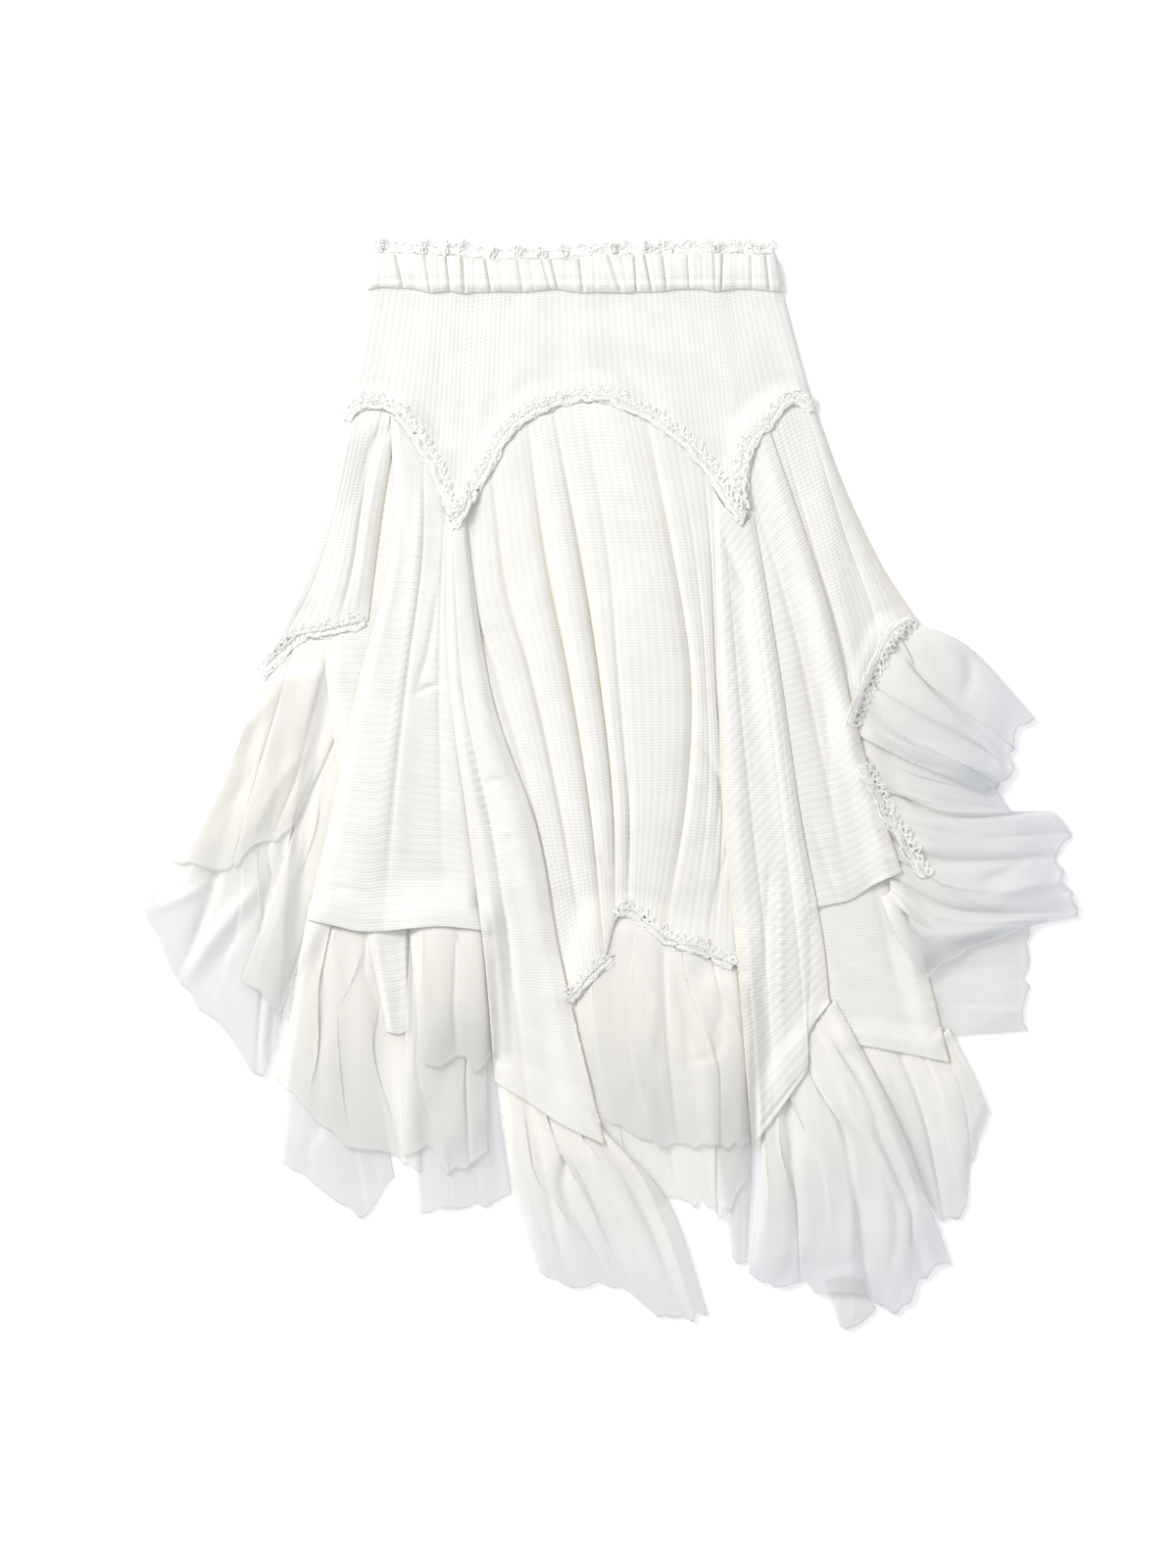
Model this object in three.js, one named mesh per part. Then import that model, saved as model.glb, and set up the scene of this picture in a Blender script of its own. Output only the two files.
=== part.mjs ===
import * as THREE from 'three';

// Tiered ruffle skirt laid flat, its back panels on the surface and its front panels on them.
// Millimetres, +Z up, +Y towards the waist. The origin lies under the middle of the cloth.

// Driving dimensions
const waistFlat = 337; // relaxed elastic waist, laid flat
const knitWall = 1.2;
const chiffonWall = 1;
const laceWall = 1;
const bandWall = 2.2; // casing with its elastic
const seamGap = 0.3;
const ribPitch = 5.9;
const crossRibPitch = 13; // the gores' cross ribs, drawn wider than the 6.8 they are knitted
const ribHeight = 0.6;
const laceWidth = 11;
const picotPitch = 12;
const picotDepth = 1.6;

// The tables give places in pixels of the view from above, x to the right and y down.
const waistInView = 421;
const perPixel = waistFlat / waistInView;
const centreInView = { x: 623, y: 801.5 };

const ivory = 0xf6f4ec;
const sheerWhite = 0xe9eaea;
const laceWhite = 0xf4f2ea;

// Names the numbers of each row by its column.
function table(columns, rows) {
  return rows.map((row) => Object.fromEntries(columns.map((name, i) => [name, row[i]])));
}

// Stations down a panel. A course is one line of cloth from head to foot: an edge, a crease or a ridge.
// Dips say how far the cloth falls from its crown along the course, at the head, middle and foot, in
// millimetres. Lean pushes a crease's gentle side to the right (up to 1) or the left (down to -1).
const threeStations = ['head', 'mid', 'foot'];
const fourStations = ['head', 'hip', 'knee', 'foot'];
const fiveStations = ['head', 'hip', 'thigh', 'knee', 'foot'];
const dipColumns = ['headDip', 'midDip', 'footDip', 'lean'];

function courseTable(stations, rows) {
  const places = stations.flatMap((name) => [name + 'X', name + 'Y']);
  return table([...places, ...dipColumns], rows).map((row) => ({
    points: stations.map((name) => [row[name + 'X'], row[name + 'Y']]),
    dips: [row.headDip, row.midDip, row.footDip],
    lean: row.lean,
  }));
}

// The scalloped seam between yoke and gores, from the left side to the right side
const archSeam = table(['x', 'y'], [
  [350, 427], [362, 416], [376, 410], [394, 412], [409, 423], [426, 446], [445, 478], [458, 503], [466, 532],
  [476, 515], [488, 492], [500, 468], [517, 440], [536, 423], [560, 411], [590, 403], [622, 404], [650, 416],
  [680, 434], [706, 456], [726, 480], [742, 506], [756, 531], [757, 503], [759, 477], [768, 449], [786, 428],
  [800, 412], [818, 408], [833, 421],
]);

// Front gores, drawn from the photograph's creases
const leftSidePanel = courseTable(fourStations, [
  [352, 420, 335, 490, 308, 590, 262, 690, 1, 5, 3, 0],
  [366, 410, 350, 495, 325, 585, 290, 655, 0, 1, 1, 0],
  [380, 406, 360, 500, 343, 582, 318, 646, 0, 0, 0, 0],
  [394, 409, 372, 500, 360, 580, 345, 641, 1, 5, 2, -0.5],
  [408, 419, 393, 505, 383, 578, 376, 634, 1, 5, 3, 0],
]);

const leftGore = courseTable(fiveStations, [
  [399, 416, 399, 560, 366, 695, 340, 820, 313, 938, 1, 7, 4, 0],
  [410, 420, 411, 562, 385, 696, 362, 820, 340, 944, 0, 0, 1, 0],
  [421, 434, 421, 564, 402, 698, 383, 822, 366, 950, 0, 1, 0, 0],
  [433, 452, 431, 566, 415, 692, 402, 816, 391, 950, 1, 7, 3, -0.4],
  [445, 472, 440, 570, 431, 700, 425, 822, 420, 947, 0, 0, 0, 0],
  [456, 494, 451, 576, 448, 702, 450, 825, 453, 945, 1, 4, 2, 0.3],
  [470, 526, 464, 592, 470, 706, 484, 832, 500, 950, 1, 7, 4, 0],
]);

const centreGore = courseTable(fiveStations, [
  [462, 530, 458, 620, 490, 740, 530, 860, 566, 1014, 1, 12, 6, 0],
  [480, 500, 477, 600, 506, 690, 545, 830, 582, 1020, 1, 7, 4, 0.3],
  [500, 460, 516, 596, 542, 690, 572, 830, 600, 997, 1, 8, 4, 0.2],
  [536, 417, 556, 565, 580, 690, 602, 830, 617, 978, 1, 11, 6, 0.3],
  [562, 405, 591, 560, 611, 690, 625, 820, 628, 940, 1, 12, 6, 0.2],
  [592, 397, 620, 560, 631, 690, 641, 820, 642, 927, 0, 3, 6, 0],
  [624, 398, 654, 560, 666, 690, 666, 820, 657, 934, 0, 0, 0, 0],
  [656, 412, 686, 560, 705, 690, 700, 820, 677, 954, 1, 10, 6, -0.3],
  [686, 432, 708, 560, 720, 690, 722, 820, 703, 966, 0, 2, 1, 0],
  [716, 460, 725, 565, 730, 690, 737, 820, 728, 976, 0, 6, 6, 0],
  [760, 522, 744, 604, 748, 700, 755, 825, 766, 991, 1, 12, 6, 0],
]);

const leftBiasGore = courseTable(fiveStations, [
  [452, 548, 460, 700, 478, 850, 495, 985, 505, 1104, 1, 8, 4, 0],
  [459, 542, 474, 712, 501, 850, 521, 985, 538, 1124, 0, 5, 4, -0.3],
  [466, 540, 487, 720, 522, 850, 544, 985, 575, 1148, 0, 0, 0, 0],
  [474, 544, 504, 728, 547, 850, 572, 985, 618, 1168, 1, 8, 4, 0],
]);

const rightBiasGore = courseTable(fiveStations, [
  [728, 500, 732, 690, 737, 830, 750, 960, 767, 1170, 1, 9, 4, 0],
  [738, 516, 752, 690, 766, 830, 781, 960, 790, 1147, 0, 4, 4, 0.4],
  [748, 528, 769, 690, 784, 830, 798, 960, 808, 1123, 0, 0, 0, 0],
  [758, 538, 782, 690, 800, 830, 822, 960, 827, 1098, 0, 5, 4, -0.3],
  [768, 528, 796, 690, 816, 830, 839, 960, 846, 1024, 1, 9, 4, 0],
]);

const rightGore = courseTable(fourStations, [
  [754, 520, 772, 650, 796, 785, 828, 927, 1, 6, 4, 0],
  [753, 490, 789, 640, 816, 780, 847, 923, 0, 0, 1, 0],
  [755, 466, 806, 632, 838, 775, 868, 918, 0, 5, 2, 0.3],
  [763, 442, 824, 622, 856, 770, 893, 902, 0, 0, 0, 0],
  [780, 424, 842, 608, 876, 748, 920, 890, 1, 6, 4, 0],
]);

const rightSidePanel = courseTable(fourStations, [
  [774, 428, 812, 560, 845, 680, 874, 776, 1, 5, 3, 0],
  [788, 416, 828, 552, 860, 670, 868, 746, 0, 3, 1, 0],
  [802, 404, 844, 545, 876, 655, 876, 714, 0, 0, 0, 0],
  [818, 403, 857, 532, 890, 625, 895, 678, 0, 3, 1, 0],
  [832, 418, 862, 498, 898, 574, 934, 630, 1, 5, 3, 0],
]);

// Back gores, which show only below the front ones
const backLeftGore = courseTable(fourStations, [
  [358, 436, 326, 620, 345, 830, 394, 1052, 0, 1, 2, 0],
  [400, 436, 375, 620, 380, 830, 408, 1057, 0, 0, 0, 0],
  [446, 474, 430, 640, 426, 830, 421, 1050, 0, 1, 2, 0],
]);

const backCentreGore = courseTable(threeStations, [
  [436, 462, 426, 680, 440, 880, 0, 1, 1, 0],
  [520, 452, 525, 680, 525, 905, 0, 0, 0, 0],
  [600, 420, 610, 680, 615, 905, 0, 1, 1, 0],
  [700, 452, 710, 680, 712, 905, 0, 0, 0, 0],
  [782, 436, 806, 680, 822, 880, 0, 1, 1, 0],
]);

const backRightGore = courseTable(threeStations, [
  [776, 432, 800, 800, 848, 1062, 0, 2, 2, 0],
  [796, 426, 838, 800, 888, 1068, 0, 0, 0, 0],
  [812, 424, 872, 800, 930, 1076, 0, 1, 1, 0],
  [826, 430, 902, 800, 969, 1084, 0, 2, 2, 0],
]);

// Chiffon ruffles, each from its gathered head to its raw hem
const ruffles = {
  ruffle_left_low: courseTable(threeStations, [
    [262, 705, 205, 830, 146, 926, 0, 2, 2, 0],
    [275, 700, 232, 850, 186, 1006, 1, 3, 4, 0.2],
    [288, 695, 256, 862, 223, 1046, 0, 0, 0, 0],
    [300, 692, 276, 880, 266, 1099, 1, 3, 4, -0.2],
    [312, 690, 292, 880, 284, 1077, 0, 0, 0, 0],
    [324, 690, 300, 870, 300, 1036, 0, 2, 2, 0],
  ]),
  ruffle_left_point: courseTable(threeStations, [
    [312, 1040, 292, 1120, 288, 1185, 0, 1, 1, 0],
    [335, 1040, 318, 1125, 330, 1215, 0, 0, 0, 0],
    [358, 1040, 350, 1130, 371, 1240, 0, 1, 2, 0],
    [385, 1040, 385, 1130, 402, 1199, 0, 1, 1, 0],
  ]),
  ruffle_left_gore_low: courseTable(threeStations, [
    [425, 1060, 418, 1150, 429, 1238, 0, 1, 1, 0],
    [455, 1060, 455, 1150, 460, 1233, 0, 0, 0, 0],
    [480, 1060, 485, 1150, 491, 1230, 0, 2, 2, 0],
    [505, 1060, 508, 1140, 522, 1220, 0, 1, 1, 0],
  ]),
  ruffle_right_point: courseTable(threeStations, [
    [842, 1280, 846, 1310, 851, 1335, 0, 1, 1, 0],
    [861, 1280, 859, 1325, 861, 1357, 0, 0, 0, 0],
    [882, 1280, 884, 1315, 895, 1336, 0, 1, 1, 0],
  ]),
  ruffle_right_square: courseTable(threeStations, [
    [950, 952, 1000, 949, 1050, 944, 0, 1, 1, 0],
    [956, 988, 1003, 984, 1049, 980, 0, 0, 0, 0],
    [966, 1024, 1005, 1020, 1047, 1018, 0, 1, 1, 0],
    [980, 1056, 1012, 1054, 1045, 1052, 0, 1, 1, 0],
  ]),
  ruffle_right_back: courseTable(threeStations, [
    [868, 1054, 898, 1130, 930, 1202, 1, 2, 2, 0],
    [890, 1057, 920, 1135, 950, 1230, 0, 0, 0, 0],
    [912, 1060, 942, 1138, 964, 1246, 1, 4, 4, 0],
    [932, 1064, 962, 1135, 985, 1231, 0, 0, 0, 0],
    [950, 1064, 982, 1125, 992, 1185, 1, 3, 3, 0],
    [968, 1048, 994, 1100, 1010, 1136, 1, 2, 2, 0],
  ]),
  ruffle_right_side_top: courseTable(threeStations, [
    [933, 624, 985, 662, 1056, 733, 1, 3, 2, 0],
    [913, 640, 975, 690, 1036, 748, 0, 0, 2, 0],
    [896, 662, 960, 712, 1033, 772, 1, 5, 4, 0],
    [885, 688, 945, 732, 1030, 796, 0, 0, 0, 0],
    [872, 714, 932, 752, 1018, 801, 1, 5, 4, 0],
    [862, 744, 920, 774, 1000, 808, 1, 3, 2, 0],
  ]),
  ruffle_right_side: courseTable(threeStations, [
    [862, 750, 930, 790, 1022, 806, 1, 3, 3, 0],
    [872, 774, 945, 812, 1031, 827, 0, 0, 3, 0],
    [884, 798, 962, 832, 1076, 829, 1, 6, 0, 0],
    [896, 822, 970, 853, 1091, 850, 0, 0, 3, 0],
    [908, 846, 975, 876, 1080, 874, 1, 6, 5, 0],
    [919, 866, 980, 902, 1090, 908, 0, 0, 0, 0],
    [929, 884, 984, 926, 1100, 931, 1, 5, 2, 0],
    [939, 902, 976, 944, 1052, 946, 0, 0, 0, 0],
    [946, 926, 964, 954, 985, 972, 1, 3, 3, 0],
  ]),
  ruffle_left_side: courseTable(threeStations, [
    [266, 682, 228, 790, 174, 878, 1, 3, 3, 0],
    [284, 662, 246, 788, 205, 884, 0, 0, 0, 0],
    [300, 647, 266, 782, 236, 886, 1, 4, 4, 0.3],
    [320, 640, 286, 775, 256, 866, 0, 0, 0, 0],
    [345, 634, 312, 765, 280, 858, 1, 4, 4, 0.3],
    [376, 628, 346, 740, 299, 845, 1, 3, 3, 0],
  ]),
  ruffle_left_inner: courseTable(threeStations, [
    [354, 715, 300, 850, 247, 1001, 1, 3, 3, 0],
    [360, 730, 315, 868, 266, 1014, 0, 0, 0, 0],
    [366, 745, 328, 880, 283, 1031, 1, 4, 4, 0.3],
    [376, 758, 344, 882, 300, 1040, 0, 0, 0, 0],
    [388, 770, 362, 885, 328, 985, 1, 3, 3, 0],
  ]),
  ruffle_left_gore: courseTable(threeStations, [
    [316, 920, 298, 1020, 280, 1100, 1, 3, 3, 0],
    [328, 924, 316, 1030, 302, 1120, 0, 0, 0, 0],
    [341, 926, 332, 1035, 330, 1149, 1, 4, 4, 0],
    [354, 928, 350, 1040, 364, 1172, 0, 0, 0, 0],
    [366, 930, 367, 1045, 399, 1181, 1, 4, 4, 0],
    [380, 930, 386, 1060, 419, 1201, 1, 3, 3, 0],
  ]),
  ruffle_left_gore_mid: courseTable(threeStations, [
    [418, 1000, 428, 1100, 440, 1166, 1, 3, 3, 0],
    [445, 1000, 448, 1100, 456, 1196, 0, 0, 0, 0],
    [470, 1000, 474, 1100, 478, 1188, 1, 4, 4, 0],
    [496, 1000, 498, 1100, 498, 1178, 1, 3, 3, 0],
  ]),
  ruffle_left_gore_top: courseTable(threeStations, [
    [415, 926, 424, 1010, 428, 1080, 1, 3, 3, 0],
    [438, 927, 442, 1015, 446, 1090, 0, 0, 0, 0],
    [458, 927, 463, 1010, 468, 1077, 1, 4, 4, 0],
    [478, 929, 485, 1010, 488, 1092, 0, 0, 0, 0],
    [500, 931, 504, 1015, 507, 1070, 1, 3, 3, 0],
  ]),
  ruffle_centre_left: courseTable(threeStations, [
    [510, 1088, 519, 1190, 550, 1298, 1, 3, 3, 0],
    [532, 1100, 549, 1210, 582, 1312, 0, 0, 0, 0],
    [552, 1112, 577, 1216, 628, 1312, 1, 5, 5, 0.3],
    [577, 1126, 614, 1220, 668, 1340, 0, 0, 0, 0],
    [600, 1140, 648, 1218, 700, 1346, 1, 4, 4, 0],
    [616, 1152, 682, 1226, 722, 1338, 1, 3, 3, 0],
  ]),
  ruffle_centre_strip: courseTable(threeStations, [
    [722, 1110, 738, 1210, 747, 1284, 1, 2, 2, 0],
    [742, 1110, 752, 1210, 755, 1291, 0, 0, 0, 0],
    [762, 1110, 766, 1210, 762, 1286, 1, 2, 2, 0],
  ]),
  ruffle_centre_low: courseTable(threeStations, [
    [618, 952, 602, 1075, 666, 1201, 1, 3, 3, 0],
    [642, 950, 640, 1080, 678, 1222, 0, 0, 0, 0],
    [666, 955, 668, 1085, 695, 1226, 1, 4, 4, 0],
    [690, 962, 697, 1090, 715, 1229, 0, 0, 0, 0],
    [716, 970, 728, 1095, 738, 1239, 1, 4, 4, 0],
    [756, 985, 766, 1090, 762, 1200, 1, 3, 3, 0],
  ]),
  ruffle_centre: courseTable(threeStations, [
    [625, 922, 618, 1040, 652, 1160, 1, 3, 3, 0],
    [650, 930, 650, 1050, 670, 1168, 0, 0, 0, 0],
    [676, 944, 681, 1060, 691, 1170, 1, 4, 4, 0],
    [702, 955, 706, 1060, 713, 1169, 0, 0, 0, 0],
    [728, 963, 733, 1065, 739, 1170, 1, 4, 4, 0],
    [758, 977, 760, 1070, 763, 1166, 1, 3, 3, 0],
  ]),
  ruffle_centre_right: courseTable(threeStations, [
    [778, 1128, 773, 1225, 764, 1299, 1, 3, 2, 0],
    [786, 1113, 791, 1225, 790, 1313, 0, 0, 0, 0],
    [795, 1096, 814, 1215, 815, 1308, 1, 5, 4, 0],
    [806, 1080, 840, 1205, 842, 1319, 0, 0, 0, 0],
    [817, 1068, 865, 1195, 889, 1325, 1, 5, 4, 0],
    [827, 1056, 888, 1182, 915, 1341, 0, 0, 0, 0],
    [842, 1054, 908, 1172, 944, 1302, 1, 4, 4, 0],
    [852, 1044, 918, 1152, 970, 1288, 1, 3, 2, 0],
  ]),
};

// Lace edgings, along seams and hems
const laces = {
  lace_side_hem_left: [[264, 688], [283, 668], [301, 651], [322, 645], [346, 640], [372, 633]],
  lace_side_hem_right: [[933, 630], [906, 650], [893, 680], [879, 709], [868, 740]],
  lace_gore_side_right: [[880, 780], [904, 828], [928, 866], [944, 896]],
  lace_centre_hem: [[630, 927], [652, 934], [680, 957], [713, 967], [750, 985]],
  lace_centre_point: [[580, 1020], [600, 997], [624, 976]],
  lace_arch_left: [[352, 428], [362, 417], [376, 410], [394, 412], [409, 423], [426, 446], [445, 478],
    [464, 524]],
  lace_arch_right: [[759, 520], [756, 500], [757, 477], [768, 448], [786, 428], [800, 411], [817, 408],
    [831, 417]],
  lace_arch_centre: [[462, 538], [476, 515], [500, 470], [517, 441], [536, 424], [560, 412], [590, 404],
    [622, 405], [650, 417], [680, 435], [706, 457], [726, 481], [742, 507], [758, 530]],
};

// Gathers in the elastic casing
const casing = { top: 258, bottom: 300 };
const waistLine = [[379, 254], [480, 255], [587, 255], [690, 255], [790, 254]];
const puckers = [376, 405, 435, 455, 473, 497, 525, 550, 572, 592, 629, 658, 675, 700, 733, 761, 785, 797];

// A smooth curve through values at uneven knots
function smoothValue(knots, values, at) {
  const last = knots.length - 1;
  let i = 0;
  while (i < last - 1 && at > knots[i + 1]) i += 1;
  const slope = (k) => {
    const low = Math.max(k - 1, 0);
    const high = Math.min(k + 1, last);
    return (values[high] - values[low]) / (knots[high] - knots[low]);
  };
  const span = knots[i + 1] - knots[i];
  const u = (at - knots[i]) / span;
  const rise = values[i + 1] - values[i];
  const first = slope(i) * span;
  const second = slope(i + 1) * span;
  const square = 3 * rise - 2 * first - second;
  const cube = first + second - 2 * rise;
  return values[i] + u * first + u * u * square + u * u * u * cube;
}

function throughThree([head, mid, foot], t) {
  return t < 0.5 ? head + (mid - head) * Math.sin(Math.PI * t) : foot + (mid - foot) * Math.sin(Math.PI * t);
}

// A panel's plan and relief, as functions of s across it and t down it
function draft(courses, crown) {
  const stationKnots = courses[0].points.map((_, k, all) => k / (all.length - 1));
  const knots = [0];
  for (let i = 1; i < courses.length; i += 1) {
    const gaps = courses[i].points.map(([x, y], k) => {
      const [fromX, fromY] = courses[i - 1].points[k];
      return Math.hypot(x - fromX, y - fromY);
    });
    knots.push(knots[i - 1] + gaps.reduce((a, b) => a + b) / gaps.length);
  }
  const width = knots[knots.length - 1];
  const across = knots.map((value) => value / width);
  const down = courses[0].points.length;

  function plan(s, t) {
    const place = [0, 1].map((axis) => {
      const rows = courses.map((course) => smoothValue(stationKnots, course.points.map((p) => p[axis]), t));
      return smoothValue(across, rows, s);
    });
    return [(place[0] - centreInView.x) * perPixel, (centreInView.y - place[1]) * perPixel];
  }

  function relief(s, t) {
    const last = courses.length - 1;
    let i = 0;
    while (i < last - 1 && s > across[i + 1]) i += 1;
    const w = (s - across[i]) / (across[i + 1] - across[i]);
    const reach = 0.6;
    const skew = 0.3;
    const leftReach = reach + skew * courses[i].lean;
    const rightReach = reach - skew * courses[i + 1].lean;
    const fromLeft = Math.max(0, 1 - w / leftReach) ** 2;
    const fromRight = Math.max(0, 1 - (1 - w) / rightReach) ** 2;
    const leftDip = throughThree(courses[i].dips, t) * fromLeft;
    const rightDip = throughThree(courses[i + 1].dips, t) * fromRight;
    return Math.max(0, throughThree(crown, t) - leftDip - rightDip);
  }

  return { plan, relief, across, down };
}

// The height of all cloth laid down so far, on an even grid over the surface
const cell = 1.6;
const grid = { left: -400, front: -464, wide: 500, deep: 580 };
const laid = new Float32Array(grid.wide * grid.deep);

function cellAt(x, y) {
  const column = Math.min(grid.wide - 1, Math.max(0, Math.round((x - grid.left) / cell)));
  const row = Math.min(grid.deep - 1, Math.max(0, Math.round((y - grid.front) / cell)));
  return row * grid.wide + column;
}

// Runs a filter along the rows and then the columns of a height map.
function filterMap(map, radius, combine) {
  let from = map;
  for (const step of [1, grid.wide]) {
    const to = new Float32Array(from.length);
    for (let k = 0; k < from.length; k += 1) {
      const along = step === 1 ? k % grid.wide : Math.floor(k / grid.wide);
      const limit = step === 1 ? grid.wide : grid.deep;
      const low = Math.max(-radius, -along);
      const high = Math.min(radius, limit - 1 - along);
      to[k] = combine(from, k, step, low, high);
    }
    from = to;
  }
  return from;
}

function highest(map, k, step, low, high) {
  let best = 0;
  for (let n = low; n <= high; n += 1) best = Math.max(best, map[k + n * step]);
  return best;
}

function average(map, k, step, low, high) {
  let sum = 0;
  for (let n = low; n <= high; n += 1) sum += map[k + n * step];
  return sum / (high - low + 1);
}

// Visits points spread over a triangle, no further apart than a grid cell.
function overTriangle(a, b, c, visit) {
  const longest = Math.max(a.distanceTo(b), b.distanceTo(c), c.distanceTo(a));
  const steps = Math.max(1, Math.ceil(longest / (0.7 * cell)));
  for (let i = 0; i <= steps; i += 1) {
    for (let j = 0; j <= steps - i; j += 1) {
      const u = i / steps;
      const v = j / steps;
      const w = 1 - u - v;
      const [x, y, z] = ['x', 'y', 'z'].map((axis) => a[axis] * w + b[axis] * u + c[axis] * v);
      visit(x, y, z, [w, u, v]);
    }
  }
}

// Raises a triangle until it clears the cloth below: first most at the nearest corner, at last all over.
function liftClear(corners, clear, whole) {
  let lift = 0;
  let share = [1, 1, 1];
  overTriangle(...corners, (x, y, z, weights) => {
    const short = clear[cellAt(x, y)] - z;
    if (short > lift) {
      lift = short;
      share = weights;
    }
  });
  const scale = share.reduce((sum, weight) => sum + weight * weight, 0);
  corners.forEach((corner, k) => {
    corner.z += whole ? lift : lift * (share[k] / scale);
  });
}

// Splits the stretches between knots into equal parts.
function split(knots, parts) {
  const values = [];
  for (let i = 0; i < knots.length - 1; i += 1) {
    for (let n = 0; n < parts; n += 1) values.push(knots[i] + (knots[i + 1] - knots[i]) * (n / parts));
  }
  values.push(knots[knots.length - 1]);
  return values;
}

function evenly(count) {
  return Array.from({ length: count + 1 }, (_, i) => i / count);
}

function gridTriangles(columns, rows, start) {
  const triangles = [];
  for (let j = 0; j < rows - 1; j += 1) {
    for (let i = 0; i < columns - 1; i += 1) {
      const k = start + j * columns + i;
      triangles.push([k, k + columns, k + 1], [k + 1, k + columns, k + columns + 1]);
    }
  }
  return triangles;
}

// Joins two rims that run side by side, each a list of [value along the rim, vertex].
function zip(upper, lower) {
  const triangles = [];
  let i = 0;
  let j = 0;
  while (i < upper.length - 1 || j < lower.length - 1) {
    const nextUpper = i < upper.length - 1 ? upper[i + 1][0] : Infinity;
    const nextLower = j < lower.length - 1 ? lower[j + 1][0] : Infinity;
    if (nextUpper <= nextLower) {
      triangles.push([upper[i][1], upper[i + 1][1], lower[j][1]]);
      i += 1;
    } else {
      triangles.push([upper[i][1], lower[j + 1][1], lower[j][1]]);
      j += 1;
    }
  }
  return triangles;
}

// The four sides of a grid, each as [value along the side, vertex], in order round the panel
function sides(acrossValues, downValues, start) {
  const columns = acrossValues.length;
  const rows = downValues.length;
  const vertex = (i, j) => start + j * columns + i;
  const head = acrossValues.map((s, i) => [s, vertex(i, 0)]);
  const right = downValues.map((t, j) => [t, vertex(columns - 1, j)]);
  const foot = acrossValues.map((s, i) => [1 - s, vertex(i, rows - 1)]).reverse();
  const left = downValues.map((t, j) => [1 - t, vertex(0, j)]).reverse();
  return [head, right, foot, left];
}

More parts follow.
